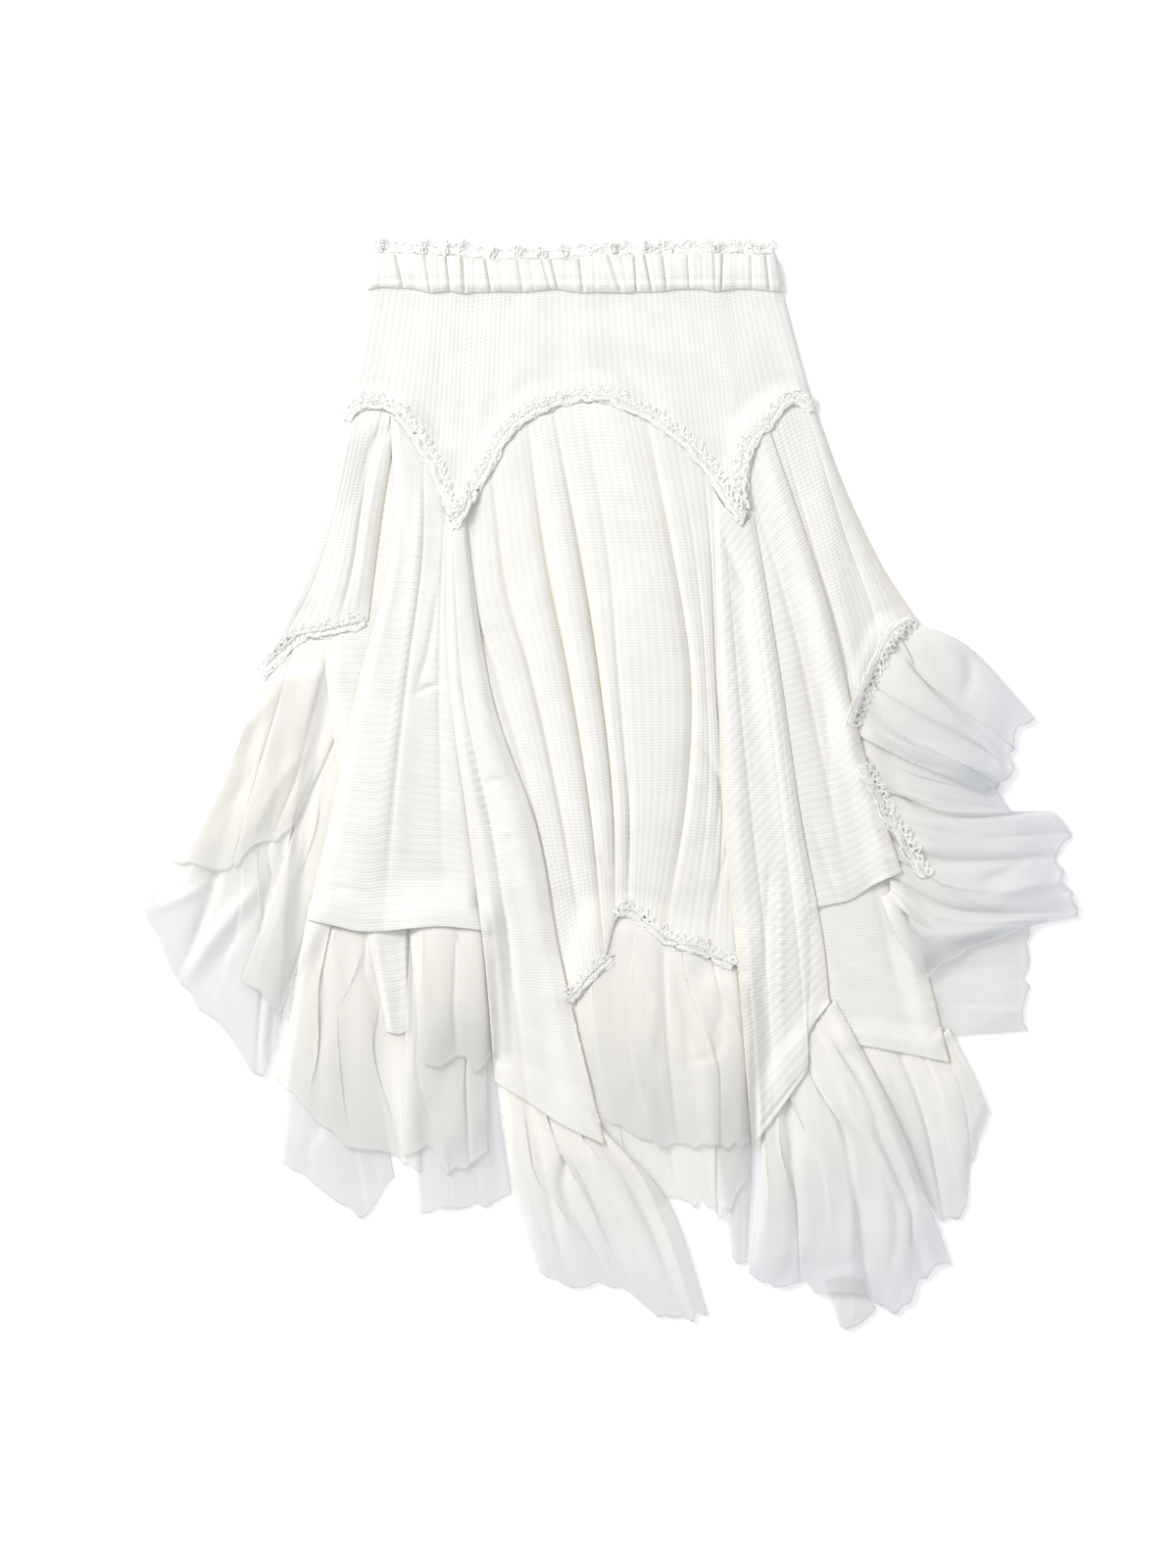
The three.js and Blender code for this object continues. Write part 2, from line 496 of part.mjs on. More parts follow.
// Lays a panel on the cloth below it, as a wall whose outer side carries the ribs over a plain inside.
function layPanel(name, colour, courses, form) {
  const { plan, relief, across, down } = draft(courses, form.crown);
  const lowerAcross = split(across, form.parts ?? 2);
  const lowerDown = form.down ?? evenly((down - 1) * 2);
  let upperAcross = lowerAcross;
  let upperDown = lowerDown;
  let rib = () => 0;
  if (form.ribs === 'down') {
    const [leftX, leftY] = plan(0, 0.5);
    const [rightX, rightY] = plan(1, 0.5);
    const count = Math.round(Math.hypot(rightX - leftX, rightY - leftY) / ribPitch);
    upperAcross = evenly(2 * count);
    rib = (i) => (i % 2) * ribHeight;
  }
  if (form.ribs === 'across') {
    const from = form.ribsFrom ?? 0;
    const [headX, headY] = plan(0.5, from);
    const [footX, footY] = plan(0.5, 1);
    const count = Math.round(Math.hypot(footX - headX, footY - headY) / crossRibPitch);
    const plain = lowerDown.filter((t) => t < from);
    upperDown = [...plain, ...evenly(2 * count).map((t) => from + (1 - from) * t)];
    rib = (i, j) => (j >= plain.length && (j - plain.length) % 2 === 1 ? ribHeight : 0);
  }

  const gapped = laid.map((height) => (height > 0 ? height + seamGap : 0));
  const support = filterMap(filterMap(gapped, 2, highest), 2, average);
  const clear = filterMap(gapped, 1, highest);
  const lower = [];
  for (const t of lowerDown) {
    for (const s of lowerAcross) {
      const [x, y] = plan(s, t);
      lower.push(new THREE.Vector3(x, y, support[cellAt(x, y)] + relief(s, t)));
    }
  }
  const lowerTriangles = gridTriangles(lowerAcross.length, lowerDown.length, 0);
  const passes = 12;
  const gentlePasses = 9;
  for (let pass = 0; pass < passes; pass += 1) {
    const whole = pass >= gentlePasses;
    for (const corners of lowerTriangles) liftClear(corners.map((k) => lower[k]), clear, whole);
  }

  const columns = lowerAcross.length;
  const insideHeight = (s, t) => {
    let i = 0;
    while (i < columns - 2 && s > lowerAcross[i + 1]) i += 1;
    let j = 0;
    while (j < lowerDown.length - 2 && t > lowerDown[j + 1]) j += 1;
    const u = (s - lowerAcross[i]) / (lowerAcross[i + 1] - lowerAcross[i]);
    const v = (t - lowerDown[j]) / (lowerDown[j + 1] - lowerDown[j]);
    const [a, b, c, d] = [0, 1, columns, columns + 1].map((k) => lower[j * columns + i + k].z);
    return u + v < 1 ? a + (b - a) * u + (c - a) * v : d + (c - d) * (1 - u) + (b - d) * (1 - v);
  };
  const upper = [];
  upperDown.forEach((t, j) => {
    upperAcross.forEach((s, i) => {
      const [x, y] = plan(s, t);
      const inside = Math.max(insideHeight(s, t), support[cellAt(x, y)] + relief(s, t));
      upper.push(new THREE.Vector3(x, y, inside + form.wall + rib(i, j)));
    });
  });

  const upperTriangles = gridTriangles(upperAcross.length, upperDown.length, lower.length);
  const lowerSides = sides(lowerAcross, lowerDown, 0);
  const upperSides = sides(upperAcross, upperDown, lower.length);
  const rim = upperSides.flatMap((side, k) => zip(side, lowerSides[k]));
  const turned = lowerTriangles.map(([a, b, c]) => [a, c, b]);
  const points = [...lower, ...upper];
  const triangles = [...turned, ...upperTriangles, ...rim];

  const [leftX, leftY] = plan(0, 0.5);
  const [rightX, rightY] = plan(1, 0.5);
  const [headX, headY] = plan(0.5, 0);
  const [footX, footY] = plan(0.5, 1);
  const facesUp = (rightX - leftX) * (footY - headY) - (rightY - leftY) * (footX - headX) < 0;
  const ordered = facesUp ? triangles : triangles.map(([a, b, c]) => [a, c, b]);

  for (const [a, b, c] of upperTriangles) {
    overTriangle(points[a], points[b], points[c], (x, y, z) => {
      const k = cellAt(x, y);
      laid[k] = Math.max(laid[k], z);
    });
  }

  const geometry = new THREE.BufferGeometry();
  const coordinates = points.flatMap((p) => [p.x, p.y, p.z]);
  geometry.setAttribute('position', new THREE.Float32BufferAttribute(coordinates, 3));
  geometry.setIndex(ordered.flat());
  geometry.computeVertexNormals();
  const material = new THREE.MeshStandardMaterial({ color: colour, roughness: 0.9, metalness: 0 });
  const mesh = new THREE.Mesh(geometry, material);
  mesh.name = name;
  skirt.add(mesh);
}

// The yoke's courses fan out from the waist to the scalloped seam.
function yokeCourses(tuck) {
  const middle = { head: 587, foot: 592 };
  const footInView = 483;
  const fan = waistInView / footInView;
  return archSeam.map(({ x, y }) => {
    const headX = middle.head + (x - middle.foot) * fan;
    return {
      points: [[headX, casing.bottom - tuck], [(headX + x) / 2, (casing.bottom + y) / 2], [x, y]],
      dips: [0, 0, 0],
      lean: 0,
    };
  });
}

// The casing's gathers run from its folded top edge to its seam, every other one a crease.
function casingCourses(depth) {
  return split(puckers, 2).map((x, i) => ({
    points: [[x, casing.top], [x, (casing.top + casing.bottom) / 2], [x, casing.bottom]],
    dips: i % 2 === 0 ? [depth, depth, depth * 0.6] : [0, 0, 0],
    lean: 0,
  }));
}

// A lace edging is a strip whose outer edge steps in and out by the picots.
function laceCourses(line, width) {
  const places = line.map(([x, y]) => new THREE.Vector3(x, y, 0));
  const curve = new THREE.CatmullRomCurve3(places, false, 'centripetal');
  const count = 2 * Math.round((curve.getLength() * perPixel) / picotPitch);
  return curve.getSpacedPoints(count).map((point, i) => {
    const tangent = curve.getTangentAt(i / count);
    const half = width / perPixel / 2;
    const out = half + (i % 2) * (picotDepth / perPixel);
    return {
      points: [
        [point.x + tangent.y * out, point.y - tangent.x * out],
        [point.x, point.y],
        [point.x - tangent.y * half, point.y + tangent.x * half],
      ],
      dips: [0, 0, 0],
      lean: 0,
    };
  });
}

const skirt = new THREE.Group();

const knit = { wall: knitWall };
const laceForm = { wall: laceWall, crown: [0, 0, 0], parts: 1, down: [0, 1] };
const sheer = { wall: chiffonWall, crown: [1, 4, 4] };
const flatSheer = { wall: chiffonWall, crown: [1, 2, 2], parts: 1 };

// Back of the skirt, flat on the surface
layPanel('yoke_back', ivory, yokeCourses(2), { ...knit, crown: [0, 0, 0], parts: 1, down: [0, 1] });
const band = { wall: bandWall, parts: 1 };
layPanel('waistband_back', ivory, casingCourses(0), { ...band, crown: [0, 0, 0], down: [0, 1] });
layPanel('gore_back_left', ivory, backLeftGore, { ...knit, crown: [0, 1, 2] });
layPanel('gore_back_centre', ivory, backCentreGore, { ...knit, crown: [0, 1, 1] });
for (const name of ['ruffle_left_low', 'ruffle_left_point', 'ruffle_left_gore_low', 'ruffle_right_point',
  'ruffle_right_square']) {
  layPanel(name, sheerWhite, ruffles[name], flatSheer);
}
layPanel('ruffle_right_back', sheerWhite, ruffles.ruffle_right_back, sheer);
const backRightForm = { ...knit, crown: [0, 2, 2], ribs: 'across', ribsFrom: 0.68 };
layPanel('gore_back_right', ivory, backRightGore, backRightForm);

// Ruffles of the front
for (const name of ['ruffle_right_side', 'ruffle_right_side_top', 'ruffle_left_inner', 'ruffle_left_side',
  'ruffle_left_gore', 'ruffle_left_gore_mid', 'ruffle_left_gore_top', 'ruffle_centre_strip',
  'ruffle_centre_low', 'ruffle_centre', 'ruffle_centre_left', 'ruffle_centre_right']) {
  layPanel(name, sheerWhite, ruffles[name], sheer);
}

// Knit gores of the front
layPanel('side_panel_left', ivory, leftSidePanel, { ...knit, crown: [1, 5, 3], ribs: 'down' });
layPanel('side_panel_right', ivory, rightSidePanel, { ...knit, crown: [1, 5, 3], ribs: 'down' });
layPanel('gore_left', ivory, leftGore, { ...knit, crown: [1, 7, 4], ribs: 'across' });
layPanel('gore_right', ivory, rightGore, { ...knit, crown: [1, 6, 4], ribs: 'across' });
layPanel('gore_centre', ivory, centreGore, { ...knit, crown: [1, 12, 6], ribs: 'down' });
layPanel('gore_bias_left', ivory, leftBiasGore, { ...knit, crown: [1, 8, 4], ribs: 'across' });
layPanel('gore_bias_right', ivory, rightBiasGore, { ...knit, crown: [1, 9, 4], ribs: 'across' });

// Waist
const yokeRows = [0, 0.3, 0.6, 0.8, 0.92, 1];
const yokeForm = { ...knit, crown: [0, 0, 0], parts: 1, down: yokeRows, ribs: 'down' };
layPanel('yoke_front', ivory, yokeCourses(2), yokeForm);
layPanel('lace_waist', laceWhite, laceCourses(waistLine, laceWidth), laceForm);
layPanel('waistband_front', ivory, casingCourses(2), { ...band, crown: [2, 2, 1], down: [0, 0.5, 1] });

// Lace
for (const [name, line] of Object.entries(laces)) {
  layPanel(name, laceWhite, laceCourses(line, laceWidth), laceForm);
}

export default skirt;
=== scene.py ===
# %% [markdown]
# A tiered ruffle skirt, laid flat and seen from straight above. The real skirt is a tube of rib knit: a
# yoke with three arches, gores that hang from the arches and end in points, and chiffon ruffles gathered
# onto them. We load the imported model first. It is the frame that every piece of cloth below lies in, in
# metres.

# %% Load the frame
import math

import bpy
import numpy as np
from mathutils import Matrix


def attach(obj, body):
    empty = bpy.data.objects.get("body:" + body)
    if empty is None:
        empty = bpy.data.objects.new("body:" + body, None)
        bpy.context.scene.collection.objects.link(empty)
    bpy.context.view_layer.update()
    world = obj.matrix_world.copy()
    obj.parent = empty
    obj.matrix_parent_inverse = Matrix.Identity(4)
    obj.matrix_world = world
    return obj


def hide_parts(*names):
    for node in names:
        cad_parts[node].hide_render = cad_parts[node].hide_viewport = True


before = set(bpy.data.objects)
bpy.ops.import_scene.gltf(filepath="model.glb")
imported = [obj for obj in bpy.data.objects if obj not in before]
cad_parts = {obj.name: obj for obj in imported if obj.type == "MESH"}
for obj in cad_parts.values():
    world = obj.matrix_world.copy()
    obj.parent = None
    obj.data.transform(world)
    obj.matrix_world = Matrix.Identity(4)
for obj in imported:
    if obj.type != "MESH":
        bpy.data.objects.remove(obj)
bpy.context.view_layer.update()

# %% [markdown]
# The skirt was measured in the view from above, so its tables hold places in pixels of that view, x to the
# right and y down. One real size turns them into millimetres: the relaxed waist is 337 mm wide.

# %% Scale and camera
WAIST_MM = 337
WAIST_IN_VIEW = 421
MM = WAIST_MM / WAIST_IN_VIEW
CENTRE_X = 623
CENTRE_Y = 801.5
VIEW_WIDTH = 1200
VIEW_HEIGHT = 1600
CAMERA_DISTANCE = 4.0
SENSOR_MM = 24
METRE = 0.001


def in_mm(x, y):
    """Places in the view as millimetres to the right of and behind the skirt's middle."""
    return (x - CENTRE_X) * MM, (CENTRE_Y - y) * MM


def add_object(name, data):
    made = bpy.data.objects.new(name, data)
    bpy.context.scene.collection.objects.link(made)
    return made


def add_camera():
    data = bpy.data.cameras.new("camera_above")
    data.sensor_fit = "VERTICAL"
    data.sensor_height = SENSOR_MM
    data.lens = SENSOR_MM * CAMERA_DISTANCE / (VIEW_HEIGHT * MM * METRE)
    camera = add_object("camera_above", data)
    x, y = in_mm(VIEW_WIDTH / 2, VIEW_HEIGHT / 2)
    camera.location = (x * METRE, y * METRE, CAMERA_DISTANCE)
    bpy.context.scene.camera = camera
    return camera


camera = add_camera()
print("one pixel of the view is", round(MM, 4), "mm, lens", round(camera.data.lens, 1))

# %% [markdown]
# Soft light comes from the upper left, as from a window 1.4 m wide, and white walls fill the shadows. The
# window is near, so the right side of the skirt gets less of its light than the left side. The white floor
# burns out, because it is lit from below as well, as a light table is.

# %% Light and floor
FLOOR = "studio_floor"


def linear(hex_colour, alpha=1.0):
    """An sRGB hex colour as linear values."""
    channels = [int(hex_colour[i:i + 2], 16) / 255 for i in (1, 3, 5)]
    return (*[c / 12.92 if c <= 0.04045 else ((c + 0.055) / 1.055) ** 2.4 for c in channels], alpha)


def node(tree, kind, links=(), **settings):
    """Adds a node. Settings name its inputs or its own properties, links are (input, socket) pairs."""
    made = tree.nodes.new(kind)
    for name, value in settings.items():
        spoken = name.replace("_", " ").lower()
        found = [s for s in made.inputs if s.name.lower() == spoken]
        if found:
            found[0].default_value = value
        else:
            setattr(made, name, value)
    for name, socket in links:
        target = made.inputs[name] if isinstance(name, int) else [
            s for s in made.inputs if s.name.lower() == name.lower()][0]
        tree.links.new(socket, target)
    return made


def new_material(name, colour, roughness, ior):
    material = bpy.data.materials.new(name)
    material.use_nodes = True
    tree = material.node_tree
    shader = tree.nodes["Principled BSDF"]
    shader.inputs["Base Color"].default_value = linear(colour)
    shader.inputs["Roughness"].default_value = roughness
    shader.inputs["IOR"].default_value = ior
    return material, tree, shader


def add_window(name, watts, size, distance, tilt, turn, colour):
    """A square light, so many metres from the skirt's middle, tilted from straight above."""
    data = bpy.data.lights.new(name, "AREA")
    data.energy = watts
    data.size = size
    data.color = linear(colour)[:3]
    light = add_object(name, data)
    tilt = math.radians(tilt)
    turn = math.radians(turn)
    light.rotation_euler = (tilt, 0, turn)
    aside = distance * math.sin(tilt)
    light.location = (aside * math.sin(turn), -aside * math.cos(turn), distance * math.cos(tilt))
    light.visible_camera = False


def light_scene():
    scene = bpy.context.scene
    scene.view_settings.view_transform = "Standard"
    scene.view_settings.look = "None"
    scene.view_settings.exposure = 0.0
    world = bpy.data.worlds.new("studio_walls")
    scene.world = world
    world.use_nodes = True
    background = world.node_tree.nodes["Background"]
    background.inputs["Color"].default_value = linear("#FBFCFF")
    background.inputs["Strength"].default_value = 0.70
    add_window("window_light", watts=71, size=1.4, distance=3.2, tilt=54, turn=232, colour="#FFFDFA")


def add_floor():
    half = 3.0
    drop = -0.0004
    mesh = bpy.data.meshes.new(FLOOR)
    corners = [(-half, -half, drop), (half, -half, drop), (half, half, drop), (-half, half, drop)]
    mesh.from_pydata(corners, [], [(0, 1, 2, 3)])
    material, _, shader = new_material("white_paper_floor", "#FDFDFE", roughness=0.9, ior=1.5)
    shader.inputs["Emission Color"].default_value = linear("#FFFFFF")
    shader.inputs["Emission Strength"].default_value = 0.12
    mesh.materials.append(material)
    add_object(FLOOR, mesh)


light_scene()
add_floor()

# %% [markdown]
# The knit is a cotton 2x2 rib: soft, matt, warm ivory. Its ribs are real geometry below, because they show
# from a step away. The stitches within a rib are too fine for that, so they are a bump, drawn at 2.4 mm, a
# little coarser than knitted so that they show. Cotton takes an IOR near 1.5 and a high roughness.

# %% Cloth materials
def two_tones(tree, shader, share, stops):
    """The shader's colour changes between two stops, each a position and a colour."""
    ramp = node(tree, "ShaderNodeValToRGB", [("Fac", share)])
    for element, (position, colour) in zip(ramp.color_ramp.elements, stops):
        element.position = position
        element.color = linear(colour)
    tree.links.new(ramp.outputs["Color"], shader.inputs["Base Color"])
    return ramp.outputs["Color"]


def mottle(tree, shader, light_colour, dark_colour, size, coordinates):
    """Soft uneven colour, as washed cloth has, mixed from two near tones."""
    noise = node(tree, "ShaderNodeTexNoise", [("Vector", coordinates)], scale=1 / size, detail=3.0)
    return two_tones(tree, shader, noise.outputs["Fac"], ((0.35, dark_colour), (0.65, light_colour)))


def cloth_coordinates(tree):
    """Millimetres across and along the cloth, kept in the mesh's first UV map."""
    return node(tree, "ShaderNodeTexCoord").outputs["UV"]


def second_map(tree):
    """The two values that the second UV map keeps for each place, as sockets X and Y."""
    held = node(tree, "ShaderNodeUVMap", uv_map="share")
    return node(tree, "ShaderNodeSeparateXYZ", [("Vector", held.outputs["UV"])]).outputs


def rib_knit(name, light_colour, dark_colour, painted_fold_shade_colour):
    """The second UV map says how deep in a fold the cloth lies, and there the colour is mixed toward a warm
    tone: painted warm shade, standing in for light that turns warm between the walls.
    """
    stitch_mm = 2.4
    cloud_mm = 26
    wave_at_scale_one = 0.31
    material, tree, shader = new_material(name, light_colour, roughness=0.88, ior=1.5)
    shader.inputs["Sheen Weight"].default_value = 0.12
    shader.inputs["Sheen Roughness"].default_value = 0.5
    across = cloth_coordinates(tree)
    tone = mottle(tree, shader, light_colour, dark_colour, cloud_mm, across)
    # Painted warm shade: the knit's colour is mixed toward its fold colour as deep as the cloth lies in a
    # fold.
    warm = node(tree, "ShaderNodeMixRGB", [("Fac", second_map(tree)["Y"]), ("Color1", tone)],
                color2=linear(painted_fold_shade_colour))
    tree.links.new(warm.outputs["Color"], shader.inputs["Base Color"])
    stitches = node(tree, "ShaderNodeTexWave", [("Vector", across)], wave_type="BANDS",
                    bands_direction="Y", scale=wave_at_scale_one / stitch_mm, distortion=2.0)
    fuzz = node(tree, "ShaderNodeTexNoise", [("Vector", across)], scale=1.1, detail=4.0)
    mix = node(tree, "ShaderNodeMath", [(0, stitches.outputs["Fac"]), (1, fuzz.outputs["Fac"])],
               operation="ADD")
    bump = node(tree, "ShaderNodeBump", [("Height", mix.outputs[0])], strength=0.35, distance=0.0005)
    tree.links.new(bump.outputs["Normal"], shader.inputs["Normal"])
    return material


# %% [markdown]
# Chiffon is a sheer polyester or silk: tightly twisted threads with gaps between them. Light goes through
# it, so it looks grey over white and pinkish over the knit, and darker where it doubles. Each face of the
# thin shell is partly clear, and two faces together let about a third of the light through. Its colour is
# painted too: it greys from the gathered head to the hem, a painted shade, and some pieces are painted
# lighter than others, a painted light. The threads are 0.1 mm apart and can't show, so the crinkle they
# give is drawn at 1.3 mm.

# %% Sheer and lace materials
def chiffon(name, head_colour, painted_shade_hem_colour, head_cover, hem_cover):
    """The second UV map holds the place down the ruffle and the piece's painted lightness. The colour greys
    from the head to the hem: painted shade of the floor below the hems.
    """
    crinkle_mm = 1.3
    cloud_mm = 40
    material, tree, shader = new_material(name, head_colour, roughness=0.6, ior=1.45)
    shader.inputs["Sheen Weight"].default_value = 0.1
    across = cloth_coordinates(tree)
    share = second_map(tree)
    clouds = node(tree, "ShaderNodeTexNoise", [("Vector", across)], scale=1 / cloud_mm, detail=2.0)
    uneven = node(tree, "ShaderNodeMath", [(0, clouds.outputs["Fac"]), (2, share["X"])],
                  operation="MULTIPLY_ADD")
    uneven.inputs[1].default_value = 0.5
    # Painted light and shade: the colour moves toward the grey hem colour down the ruffle and with random
    # clouds, and each piece's own painted lightness pulls it back toward the head colour.
    grey = node(tree, "ShaderNodeMath", [(0, uneven.outputs[0]), (1, share["Y"])], operation="SUBTRACT")
    two_tones(tree, shader, grey.outputs[0], ((0.15, head_colour), (1.0, painted_shade_hem_colour)))
    dense = node(tree, "ShaderNodeMapRange", [("Value", share["X"])], from_max=0.75, to_min=head_cover,
                 to_max=hem_cover)
    tree.links.new(dense.outputs["Result"], shader.inputs["Alpha"])
    crinkle = node(tree, "ShaderNodeTexNoise", [("Vector", across)], scale=1 / crinkle_mm, detail=2.0)
    bump = node(tree, "ShaderNodeBump", [("Height", crinkle.outputs["Fac"])], strength=0.25, distance=0.0004)
    tree.links.new(bump.outputs["Normal"], shader.inputs["Normal"])
    return material


def cotton_thread(name, light_colour, dark_colour):
    fibre = 0.004
    material, tree, shader = new_material(name, light_colour, roughness=0.8, ior=1.5)
    place = node(tree, "ShaderNodeTexCoord").outputs["Object"]
    mottle(tree, shader, light_colour, dark_colour, fibre, place)
    return material


FINISHES = {
    # The last colour of each knit is its painted warm shade in the folds.
    "rib_knit": rib_knit("cotton_rib_knit", "#F1F0EB", "#ECEBE5", "#F0E4CF"),
    "elastic_casing": rib_knit("cotton_rib_knit_casing", "#F2F1EC", "#EDECE7", "#EDE4D4"),
    # The chiffon's grey hem colour is painted shade.
    "chiffon": chiffon("crinkled_chiffon", "#FFFDF6", "#E5E7E9", head_cover=0.84, hem_cover=0.43),
    "cotton_lace": cotton_thread("crochet_cotton_thread", "#FDFCF9", "#F7F5F0"),
}
print("finishes:", ", ".join(FINISHES))

# %% [markdown]
# A draped panel is drawn by its courses, the lines of cloth that run from its head to its foot. Some are
# edges, some creases and some the backs of rolls. A row gives a course's places down the panel and how far
# the cloth dips from its crown there, in millimetres, at the head, middle and foot. A last number, where
# there is one, is the lean: it pushes the gentle side of a crease to the right or the left. A smooth curve
# joins the places.

# %% Courses
STATIONS = {
    3: ("head", "mid", "foot"),
    4: ("head", "hip", "knee", "foot"),
    5: ("head", "hip", "thigh", "knee", "foot"),
}
DIPS = ("head_dip", "mid_dip", "foot_dip")


def course_table(rows):
    """Names the columns of a panel's rows and sorts them into places, dips and leans."""
    stations = STATIONS[(len(rows[0]) - len(DIPS)) // 2]
    columns = [f"{s}_{axis}" for s in stations for axis in "xy"] + [*DIPS, "lean"]
    named = [dict(zip(columns, row)) for row in rows]
    places = [[[row[s + "_x"], row[s + "_y"]] for s in stations] for row in named]
    dips = [[row[dip] for dip in DIPS] for row in named]
    leans = [row.get("lean", 0) for row in named]
    return [np.array(values, float) for values in (places, dips, leans)]


def curve_weights(knots, at):
    """Weights that take values at the knots to values on a smooth curve through them."""
    knots = np.asarray(knots, float)
    last = len(knots) - 1
    i = np.clip(np.searchsorted(knots, at, side="right") - 1, 0, last - 1)
    span = knots[i + 1] - knots[i]
    u = (at - knots[i]) / span
    weights = np.zeros((len(at), last + 1))
    rows = np.arange(len(at))
    rise = 3 * u * u - 2 * u * u * u
    np.add.at(weights, (rows, i), 1 - rise)
    np.add.at(weights, (rows, i + 1), rise)
    for k, share in ((i, u - 2 * u * u + u * u * u), (i + 1, u * u * u - u * u)):
        low = np.maximum(k - 1, 0)
        high = np.minimum(k + 1, last)
        slope = share * span / (knots[high] - knots[low])
        np.add.at(weights, (rows, high), slope)
        np.add.at(weights, (rows, low), -slope)
    return weights


def through_three(values, t):
    head, mid, foot = (values[..., k, None] for k in range(3))
    swell = np.sin(np.pi * t)
    return np.where(t < 0.5, head + (mid - head) * swell, foot + (mid - foot) * swell)


# %% [markdown]
# Cloth is never as smooth as its pattern. A soft noise, fixed by a seed, gives each panel the small swells
# that no crease table could list. It is worked out in the cloth's own two directions, so that wrinkles can
# run along the cloth.

# %% Soft noise
NOISE_GRID = 64


def ease(u):
    """Eases in and out from 0 to 1."""
    return u * u * (3 - 2 * u)


def soft_noise(a, b, seed):
    """Smooth noise from -1 to 1 at places a, b, with features about one unit wide."""
    grid = np.random.default_rng(seed).uniform(-1, 1, (NOISE_GRID, NOISE_GRID))
    i = np.floor(a).astype(int)
    j = np.floor(b).astype(int)
    u = ease(a - i)
    v = ease(b - j)

    def corner(di, dj):
        return grid[(i + di) % NOISE_GRID, (j + dj) % NOISE_GRID]

    near = corner(0, 0) * (1 - u) + corner(1, 0) * u
    far = corner(0, 1) * (1 - u) + corner(1, 1) * u
    return near * (1 - v) + far * v


# %% [markdown]
# Laying the skirt out is a simulation of its own, and a simple one: pieces go down one after the other, as
# hands would lay them. A height map holds the top of all cloth so far. The next piece rests on a smoothed
# copy of it, a seam's thickness higher, and then adds its own top to the map. So no piece cuts another, and
# thick rolls below lift what lies on them.

# %% Height map
CELL = 1.5
MAP_LEFT = -400.0
MAP_FRONT = -465.0
MAP_ROWS = 620
MAP_COLUMNS = 534
GAP = 0.15
laid = np.zeros((MAP_ROWS, MAP_COLUMNS))
owners = np.full(laid.shape, FLOOR, dtype=object)


def spread(heights, radius):
    """The highest value within a radius, along the rows and then the columns."""
    for axis in (0, 1):
        best = heights.copy()
        for n in range(1, radius + 1):
            for sign in (1, -1):
                best = np.maximum(best, np.roll(heights, sign * n, axis))
        heights = best
    return heights


def blur(heights, radius):
    for axis in (0, 1):
        heights = sum(np.roll(heights, n, axis) for n in range(-radius, radius + 1)) / (2 * radius + 1)
    return heights


def on_map(x, y):
    column = np.clip((x - MAP_LEFT) / CELL, 0, MAP_COLUMNS - 1.01)
    row = np.clip((y - MAP_FRONT) / CELL, 0, MAP_ROWS - 1.01)
    return row, column


def height_at(heights, x, y):
    row, column = on_map(x, y)
    i = row.astype(int)
    j = column.astype(int)
    u = row - i
    v = column - j
    low = heights[i, j] * (1 - v) + heights[i, j + 1] * v
    high = heights[i + 1, j] * (1 - v) + heights[i + 1, j + 1] * v
    return low * (1 - u) + high * u


def raise_map(x, y, z):
    """Raises the map to new heights and returns the cells that they lie in."""
    row, column = on_map(x, y)
    cells = (np.rint(row).astype(int), np.rint(column).astype(int))
    np.maximum.at(laid, cells, z)
    return cells


def add_to_map(name, x, y, z):
    """Raises the map to a wall's outer side, at places closer than its cells, and names what was below."""
    parts = 3
    least_share = 0.03
    below = set()
    for u in np.arange(parts) / parts:
        for v in np.arange(parts) / parts:
            def between(grid):
                low = grid[:-1, :-1] * (1 - u) + grid[1:, :-1] * u
                high = grid[:-1, 1:] * (1 - u) + grid[1:, 1:] * u
                return low * (1 - v) + high * v
            cells = raise_map(between(x), between(y), between(z))
            if u == v == 0:
                names, counts = np.unique(owners[cells].astype(str), return_counts=True)
                below = set(names[counts > least_share * counts.sum()])
            owners[cells] = name
    return sorted(below - {name})


# %% [markdown]
# A wall of cloth has an outer side, an inner side and a rim. The inner side lies on the support, and the
# outer side is one cloth thickness above it, measured square to the slope, with the ribs on top. The inner
# side never shows, so it keeps only some of the rows. Joined by a rim, the two sides are a closed, thin
# shell.

# %% Wall of cloth
INNER_ROWS = 3
pieces = {}


def grid_faces(columns, rows, start):
    k = start + np.arange(rows - 1)[:, None] * columns + np.arange(columns - 1)[None, :]
    return np.stack([k, k + columns, k + columns + 1, k + 1], -1).reshape(-1, 4)


def side_rim(outer, inner):
    """Faces between the outer side's edge and the inner side's edge, which has fewer places."""
    faces = []
    last = len(inner) - 1
    for j in range(len(outer) - 1):
        m = min(j // INNER_ROWS, last - 1)
        faces.append([outer[j], outer[j + 1], inner[m]])
        if (j + 1) % INNER_ROWS == 0 and m + 1 < last or j + 1 == len(outer) - 1:
            faces.append([outer[j + 1], inner[m + 1], inner[m]])
    return faces


def mesh_object(name, points, faces, maps, finish):
    mesh = bpy.data.meshes.new(name)
    mesh.from_pydata((points * METRE).tolist(), [], faces)
    mesh.shade_smooth()
    corners = np.empty(len(mesh.loops), int)
    mesh.loops.foreach_get("vertex_index", corners)
    for label, uv in maps.items():
        mesh.uv_layers.new(name=label).data.foreach_set("uv", uv[corners].ravel().astype(np.float32))
    piece = add_object(name, mesh)
    mesh.materials.append(FINISHES[finish])
    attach(piece, "root")
    pieces[name] = piece
    return piece


